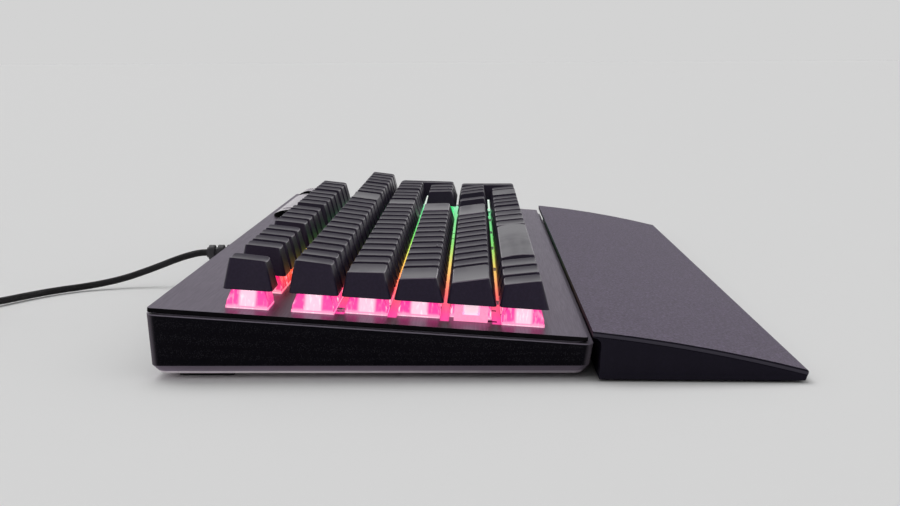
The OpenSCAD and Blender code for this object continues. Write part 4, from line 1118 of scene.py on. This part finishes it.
    def locating_bar(self, mesh: BMesh, key: Sequence[float]) -> None:
        """Adds the small bar that a finger feels on a home key."""
        front, _ = self.heights[key[1]]
        half_d = self.deck.unit / 2 - self.gap / 2
        depth = -half_d + self.front_draft + self.bar_inset
        spot = Matrix.Translation((0.0, depth, self.base + front - self.dish + 0.02 * MM))
        rod(mesh, *self.bar, spot @ Matrix.Rotation(math.pi / 2, 4, "Y"), sides=10)

    def build(self) -> None:
        """Makes every group's caps as one piece each, on the group's body."""
        for group, keys in KEYS.items():
            whole = bmesh.new()
            for key in keys:
                one = self.cap(key)
                if (key[0], key[1]) in self.home and group in ("letter", "pad"):
                    self.locating_bar(one, key)
                gather(whole, one, self.deck.spot(key))
                one.free()
            node = self.node(group)
            made = Parts.piece(
                node + "_sculpted", whole, Finishes.KEYCAP, self.body(group), "keycap_plastic",
                [node], crease=38.0,
            )
            Parts.even_shading(made)


@dataclass
class Switches:
    """Key switches: clear lit housings over the plate, and the parts inside them."""

    deck: Deck
    width: float = 15.7 * MM
    flange: float = 0.05 * MM
    taper_from: float = 2.9 * MM
    height: float = 6.6 * MM
    crown: tuple[float, float] = (13.1 * MM, 12.5 * MM)
    window: tuple[float, float] = (7.8 * MM, 6.1 * MM)
    corner: float = 0.5 * MM
    lip: float = 1.2 * MM
    well: float = 3.0 * MM
    side_plan: float = 0.65
    side_level: float = 0.3
    top_glow: float = 0.6
    side_glow: float = 0.16
    end_glow: float = 0.22

    def housing(self) -> BMesh:
        """Makes one clear housing, with its opening for the stem and its plan as UV maps."""
        mesh = bmesh.new()
        half = self.width / 2
        box(mesh, (-half, -half, self.flange), (half, half, self.height))
        sliced(mesh, (0, 0, self.taper_from), (0, 0, 1))
        for vert in [v for v in mesh.verts if v.co.z > self.height - 0.1 * MM]:
            vert.co.x = math.copysign(self.crown[0] / 2, vert.co.x)
            vert.co.y = math.copysign(self.crown[1] / 2, vert.co.y)
        rounded(mesh, long_edges(mesh, 2, 0.5 * MM), self.corner, 1)
        mesh.normal_update()
        top = [f for f in mesh.faces if f.normal.z > STRAIGHT]
        bmesh.ops.inset_region(mesh, faces=top, thickness=self.lip, use_even_offset=True)
        middle = [f for f in top if f.is_valid]
        for vert in {v for f in middle for v in f.verts}:
            vert.co.x = max(-self.window[0] / 2, min(self.window[0] / 2, vert.co.x * 1.2))
            vert.co.y = max(-self.window[1] / 2, min(self.window[1] / 2, vert.co.y * 1.2))
        bmesh.ops.translate(mesh, verts=drawn_out(mesh, middle), vec=(0, 0, -self.well))
        plan, level = mesh.loops.layers.uv.new("Switch"), mesh.loops.layers.uv.new("SwitchHeight")
        for loop in (l for f in mesh.faces for l in f.loops):
            across, along = loop.vert.co.x / half, loop.vert.co.y / half
            share = (loop.vert.co.z - self.flange) / (self.height - self.flange)
            sideways = abs(loop.face.normal.y) > 0.5
            if sideways:
                across, share = self.side_plan, max(self.side_level, share)
            glow = self.side_glow if sideways else self.end_glow
            loop[plan].uv = (across, along)
            loop[level].uv = (share, self.top_glow if loop.face.normal.z > STRAIGHT else glow)
        return mesh

    def build(self) -> None:
        """Makes the lit housings and dresses the nodes inside them."""
        whole, one = bmesh.new(), self.housing()
        for keys in KEYS.values():
            for key in keys:
                gather(whole, one, self.deck.spot(key))
        one.free()
        Parts.piece(
            "switch_housings_clear", whole, Finishes.SWITCH, "keyboard", "clear_plastic",
            ["switch_tops"], crease=25.0,
        )
        Parts.refinish({
            "switch_bases": Finishes.CLEAR_BASE, "switch_leds": Finishes.LENS,
            "switch_springs": Finishes.SPRING, "stabilizer_housings": Finishes.CLEAR_BASE,
            "stabilizer_wires": Finishes.SPRING, "circuit_board": Finishes.BOARD,
        })
        stems = [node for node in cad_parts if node.endswith(("_stem", "_stems"))]
        Parts.refinish({node: Finishes.STEM for node in stems})


@dataclass
class Cord:
    """The braided cord: its run along the floor, its coil, its tail, strap, relief and plug."""

    diameter: float = 3.4 * MM
    exit_point: tuple[float, float, float] = (0.0, 134.8891 * MM, 17.0 * MM)
    coil_radius: float = 26.25 * MM
    pitch: float = 3.9 * MM
    turns: int = 3
    layers: int = 4
    steps: int = 24
    climb: float = 0.5
    relief_root: tuple[float, float] = (5.5, 1.4)
    relief_sleeve: tuple[float, float] = (2.9, 2.6)
    relief_rib: tuple[float, float] = (4.0, 3.2)
    relief_pitch: float = 4.6
    relief_taper: float = 0.07
    relief_ribs: int = 4
    relief_start: float = 24.7
    first_rib: float = 18.0
    strap_thick: float = 0.75 * MM
    strap_half: float = 3.99 * MM
    strap_size: tuple[float, float] = (13.45 * MM, 17.35 * MM)
    run: tuple[tuple[float, float, float], ...] = (
        (0, 0, 17), (0, 4, 16.7), (0, 9, 15.6), (-0.5, 15.5, 13.6), (-1.5, 23, 10.8),
        (-3.5, 31.5, 7.8), (-6.5, 40, 5.2), (-11, 49, 3.4), (-17, 58, 2.4), (-25, 66, 2.2),
        (-35, 73, 2.2), (-46, 79, 2.2), (-57, 84, 2.3), (-67, 89, 2.4), (-76, 94, 2.6),
        (-83, 99.5, 2.8), (-88, 105.5, 2.9), (-90, 111, 2.9), (-90, 114, 2.9),
    )
    tail: tuple[tuple[float, float, float], ...] = (
        (-90, 120.8, 14.6), (-90, 126, 14.5), (-90.5, 133, 13.5), (-92.5, 141, 11),
        (-96.5, 148.5, 7.8), (-102.5, 154.5, 5.2), (-110, 158.5, 4), (-118, 160.5, 3.8),
        (-126, 161, 4), (-133, 161, 4),
    )

    def placed(self, point: Sequence[float]) -> Vector:
        """Turns a route point, in millimetres from the exit, into the shared frame."""
        return Vector((point[0] * MM, self.exit_point[1] + point[1] * MM, point[2] * MM))

    def lift(self, turn: float) -> float:
        """Gives how many layers up the coil is after that many turns."""
        raised = 0.0
        for layer in range(1, self.layers):
            share = min(1.0, max(0.0, (turn - layer * self.turns) / self.climb + 0.5))
            raised += share * share * (3.0 - 2.0 * share)
        return raised

    def coil_middle(self) -> Vector:
        """Gives the middle of the coil, at the level of its lowest turn."""
        return self.placed(self.run[-1]) + Vector((-self.coil_radius, self.diameter, 0.0))

    def centreline(self) -> list[Vector]:
        """Gives the cord's whole line, from its exit to its plug."""
        line = [self.placed(p) for p in self.run]
        middle = self.coil_middle()
        for i in range(self.steps * self.turns * self.layers + 1):
            turn = i / self.steps
            wound = turn % (2 * self.turns)
            inset = 2 * self.turns - wound if wound > self.turns else wound
            reach = self.coil_radius - self.pitch * inset
            angle = 2 * math.pi * turn
            round_middle = (reach * math.cos(angle), reach * math.sin(angle))
            line.append(middle + Vector((*round_middle, self.pitch * self.lift(turn))))
        line.extend(self.placed(p) for p in self.tail)
        return line

    def lead(self) -> Piece:
        """Makes the cord itself as one tube, with its own UV map for the braid."""
        line = self.centreline()
        curve = bpy.data.curves.new("cord_line", "CURVE")
        curve.dimensions = "3D"
        curve.bevel_depth, curve.bevel_resolution, curve.resolution_u = self.diameter / 2, 3, 4
        curve.use_fill_caps = True
        spline = curve.splines.new("BEZIER")
        spline.bezier_points.add(len(line) - 1)
        for knot, point in zip(spline.bezier_points, line):
            knot.co = point
            knot.handle_left_type = knot.handle_right_type = "AUTO"
        shaper = put_in_scene("cord_line", curve)
        graph = bpy.context.evaluated_depsgraph_get()
        data = bpy.data.meshes.new_from_object(shaper.evaluated_get(graph))
        data.name = "cord_lead"
        curve.bevel_depth, curve.use_fill_caps = 0.0, False
        graph.update()
        thread = bpy.data.meshes.new_from_object(
            shaper.evaluated_get(bpy.context.evaluated_depsgraph_get())
        )
        path = [v.co.copy() for v in thread.vertices]
        bpy.data.meshes.remove(thread)
        bpy.data.objects.remove(shaper)
        if data.uv_layers:
            data.uv_layers[0].name = "Cord"
        for face in data.polygons:
            face.use_smooth = True
        made = put_in_scene("cord_lead", data)
        Parts.dress(
            made, Finishes.CORD, "keyboard", "cord_braid", ["cord_run", "cord_coil", "cord_tail"]
        )
        self.path = path
        self.length = sum((b - a).length for a, b in zip(path, path[1:]))
        LOG.info("cord length %.4f m over %d points", self.length, len(path))
        return made

    def relief(self) -> Piece:
        """Makes the ribbed sleeve that the cord leaves the case through."""
        mesh = bmesh.new()
        turned = Matrix.Rotation(-math.pi / 2, 4, "X")
        end, level = self.exit_point[1], self.exit_point[2]
        start, outer = end - self.relief_start * MM, end - self.first_rib * MM
        flange, sleeve = self.relief_root, self.relief_sleeve
        rings = [(start, start + flange[1] * MM, flange[0], flange[0]), (start, end, *sleeve)]
        for i in range(self.relief_ribs):
            low, radius = i * self.relief_pitch, self.relief_rib[0] - self.relief_taper * i
            rings.append(
                (outer + low * MM, outer + (low + self.relief_rib[1]) * MM, radius, radius)
            )
        for low, high, near, far in rings:
            middle = Matrix.Translation((0.0, (low + high) / 2, level)) @ turned
            verts = rod(mesh, near * MM, high - low, middle, sides=40, far_radius=far * MM)
            rims = {e for v in verts for e in v.link_edges if e.calc_face_angle(0.0) > 1.0}
            rounded(mesh, rims, 0.35 * MM, 3)
        return Parts.piece(
            "cord_relief", mesh, Finishes.RELIEF, "keyboard", "cord_rubber", ["strain_relief"],
            crease=50.0,
        )

    def strap(self) -> Piece:
        """Makes the fabric strap round the coil's turns."""
        middle = self.coil_middle()
        outer = middle.x - self.coil_radius + 0.85 * MM
        mesh = bmesh.new()
        low = Vector((outer - 1.7 * MM, middle.y - self.strap_half, 0.05 * MM))
        box(mesh, low, low + Vector((self.strap_size[0], 2 * self.strap_half, self.strap_size[1])))
        rounded(mesh, long_edges(mesh, 1, 5 * MM), 2.3 * MM, 5)
        mesh.normal_update()
        ends = [f for f in mesh.faces if abs(f.normal.y) > STRAIGHT]
        bmesh.ops.delete(mesh, geom=ends, context="FACES_ONLY")
        bmesh.ops.recalc_face_normals(mesh, faces=mesh.faces)
        bmesh.ops.solidify(mesh, geom=mesh.faces, thickness=self.strap_thick)
        return Parts.piece(
            "cord_strap", mesh, Finishes.STRAP, "keyboard", "cord_rubber", ["cord_tie"], crease=45.0
        )

    def plug(self) -> list[Piece]:
        """Makes the plug: a ribbed grip, a neck, and a metal shell with its tongue."""
        end = self.placed(self.tail[-1])
        facing = Matrix.Translation(end) @ Matrix.Rotation(math.pi, 4, "Z")
        grip = bmesh.new()
        box(grip, (6 * MM, -7.5 * MM, -3.75 * MM), (30 * MM, 7.5 * MM, 3.75 * MM))
        rounded(grip, grip.edges, 1.6 * MM, 4)
        neck = Matrix.Translation((3.2 * MM, 0, 0)) @ Matrix.Rotation(math.pi / 2, 4, "Y")
        rod(grip, 2.3 * MM, 7.4 * MM, neck, sides=28, far_radius=3.2 * MM)
        for i in range(5):
            for side in (-1, 1):
                x, level = (11 + i * 2.4) * MM, side * 3.74 * MM
                slab = box(
                    grip, (x - 0.5 * MM, -5 * MM, level - 0.25 * MM),
                    (x + 0.5 * MM, 5 * MM, level + 0.25 * MM),
                )
                rounded(grip, {e for v in slab for e in v.link_edges}, 0.1 * MM, 1)
        grip.transform(facing)
        body = Parts.piece(
            "plug_grip", grip, Finishes.PLUG, "keyboard", "plug_plastic", ["usb_plug"], crease=40.0
        )
        shell = bmesh.new()
        box(shell, (29.5 * MM, -6 * MM, -2.25 * MM), (42 * MM, 6 * MM, 2.25 * MM))
        rounded(shell, long_edges(shell, 0, 5 * MM), 0.5 * MM, 3)
        shell.normal_update()
        open_end = [f for f in shell.faces if f.normal.x > STRAIGHT]
        bmesh.ops.inset_region(shell, faces=open_end, thickness=0.4 * MM, use_even_offset=True)
        bmesh.ops.translate(shell, verts=drawn_out(shell, open_end), vec=(-11 * MM, 0, 0))
        shell.transform(facing)
        metal = Parts.piece("plug_shell", shell, Finishes.SHELL, "keyboard", "plug_plastic")
        inside = bmesh.new()
        box(inside, (30.5 * MM, -5.5 * MM, -1.8 * MM), (41 * MM, 5.5 * MM, 0.0))
        inside.transform(facing)
        tongue = Parts.piece("plug_tongue", inside, Finishes.TONGUE, "keyboard", "plug_plastic")
        return [body, metal, tongue]

    def build(self) -> None:
        lead = self.lead()
        relief, strap, plug = self.relief(), self.strap(), self.plug()


@dataclass
class Case:
    """The plate, the tray under it, and what is fixed to them."""

    edge: float = 0.35 * MM

    def build(self) -> None:
        """Rounds and dresses the plate and tray, and dresses the screws and feet."""
        plate = Parts.softened(
            "top_plate", "plate_rounded", Finishes.PLATE, "keyboard", "plate_metal", 0.22 * MM, 2
        )
        # The plate's side faces are painted near-black as shade
        Parts.finish_edges(plate, Finishes.EDGE_SHADE)
        Parts.softened(
            "bottom_case", "case_rounded", Finishes.CASE, "keyboard", "case_plastic", self.edge, 2
        )
        Parts.refinish({"case_screws": Finishes.SCREW, "case_feet": Finishes.RUBBER})
        for side in ("left", "right"):
            body = f"{side}_flip"
            Parts.softened(
                f"{side}_foot", f"{side}_foot_rounded", Finishes.CASE_SMOOTH, body, "case_plastic",
                0.3 * MM,
            )
            Parts.softened(
                f"{side}_foot_tip", f"{side}_foot_tip_rounded", Finishes.RUBBER, body,
                "foot_rubber", 0.5 * MM,
            )


@dataclass
class MediaStrip:
    """The bright strip on the plate's back margin, with its volume roller and button."""

    def build(self) -> None:
        """Rounds and dresses the strip, the roller and the button."""
        strip = Parts.softened(
            "media_strip", "strip_rounded", Finishes.STRIP, "keyboard", "strip_metal", 0.3 * MM, 3
        )
        # The strip's sides and ends are painted near-black as shade
        Parts.finish_edges(strip, Finishes.EDGE_SHADE)
        roller = Parts.softened(
            "volume_roller", "roller_rounded", Finishes.ROLLER, "roller", "strip_metal", 0.08 * MM,
            1,
        )
        # The roller's end faces are painted near-black as shade
        Parts.finish_edges(roller, Finishes.EDGE_SHADE, lambda normal: abs(normal.x) < STRAIGHT)
        Parts.softened(
            "media_button", "button_rounded", Finishes.STRIP, "button", "strip_metal", 0.35 * MM, 3
        )


@dataclass
class WristRest:
    """The sloped rest in front of the keys: a hard base, a soft-touch top, strips and magnets."""

    def build(self) -> None:
        """Rounds and dresses the rest's base and top, and dresses its strips and magnets."""
        Parts.softened(
            "rest_base", "rest_sides", Finishes.REST, "wrist_rest", "rest_plastic", 0.5 * MM, 3
        )
        top = Parts.softened(
            "rest_pad", "rest_top", Finishes.REST_TOP, "wrist_rest", "rest_skin", 0.45 * MM, 3
        )
        Parts.finish_edges(top, Finishes.REST_EDGE)
        Parts.refinish({"rest_feet": Finishes.RUBBER, "rest_magnets": Finishes.MAGNET})


@dataclass
class Studio:
    """The camera, the pale floor and the soft light."""

    place: tuple[float, float, float] = (-0.74018, -0.00031, 0.11309)
    focal: float = 59.38
    pitch: float = math.radians(7.442)
    yaw: float = math.radians(0.996)
    roll: float = math.radians(-0.263)
    backdrop: float = 0.86
    overhead: float = 0.30
    sweep: tuple[float, float] = (0.22, 0.42)
    ambient: float = 0.42
    behind: float = 0.651

    def camera(self) -> None:
        """Sets the camera where the keyboard is seen from its left end."""
        level = math.cos(self.pitch)
        flat = (level * math.cos(self.yaw), level * math.sin(self.yaw))
        ahead = Vector((*flat, -math.sin(self.pitch)))
        right = Vector((math.sin(self.yaw), -math.cos(self.yaw), 0.0))
        up = right.cross(ahead)
        turned_right = math.cos(self.roll) * right + math.sin(self.roll) * up
        turned_up = -math.sin(self.roll) * right + math.cos(self.roll) * up
        lens = bpy.data.cameras.new("camera")
        lens.lens, lens.sensor_width, lens.clip_start, lens.clip_end = self.focal, 36.0, 0.01, 50.0
        held = put_in_scene("camera", lens)
        columns = Matrix((turned_right, turned_up, -ahead)).transposed()
        held.matrix_world = Matrix.Translation(self.place) @ columns.to_4x4()
        bpy.context.scene.camera = held

    def floor(self) -> None:
        """Lays the pale floor."""
        mesh = bmesh.new()
        bmesh.ops.create_grid(mesh, x_segments=1, y_segments=1, size=60.0)
        data = bpy.data.meshes.new("floor")
        mesh.to_mesh(data)
        mesh.free()
        laid = put_in_scene("floor", data)
        data.materials.append(Finishes.FLOOR.material())

    def light(self) -> None:
        """Lights the object softly from all round and above.

        Glossy surfaces mirror a sweep that is pale behind the object and dimmer overhead. The
        camera sees the far floor's own level above the horizon.
        """
        world = bpy.data.worlds.new("studio")
        bpy.context.scene.world = world
        world.use_nodes = True
        world.node_tree.nodes.clear()
        graph = Graph(world.node_tree)
        rays = graph.add("LightPath").outputs
        seen = graph.larger(rays["Is Glossy Ray"], rays["Is Transmission Ray"])
        height = graph.parts(graph.add("TexCoord").outputs["Generated"])[2]
        sweep = graph.ramp(height, self.sweep[0], self.sweep[1], self.backdrop, self.overhead)
        level = graph.mixed(seen, self.ambient, sweep)
        shown = graph.mixed(rays["Is Camera Ray"], level, self.behind)
        sky = graph.add("Background", {"Color": (1.0, 1.0, 1.0), "Strength": shown})
        graph.add("OutputWorld", {"Surface": sky.outputs[0]})
        for name, toward, spread, power in (
            ("lamp_above", (-0.42, -0.30, -1.0), 50.0, 1.3),
            ("lamp_front", (0.9, 1.0, -0.9), 70.0, 0.18),
        ):
            lamp = bpy.data.lights.new(name, "SUN")
            lamp.angle, lamp.energy = math.radians(spread), power
            held = put_in_scene(name, lamp)
            held.matrix_world = Vector(toward).to_track_quat("-Z", "Y").to_matrix().to_4x4()


def main() -> None:
    """Builds the studio and every sub-assembly."""
    logging.basicConfig(level=logging.INFO, format="%(message)s")
    studio = Studio()
    studio.camera()
    Cord().build()
    studio.floor()
    studio.light()
    bpy.context.scene.view_settings.view_transform = "Standard"
    deck = Deck()
    for assembly in (Case(), Switches(deck), Keycaps(deck), MediaStrip(), WristRest()):
        assembly.build()
    LOG.info("%d pieces", Parts.count)


if __name__ == "__main__":
    main()
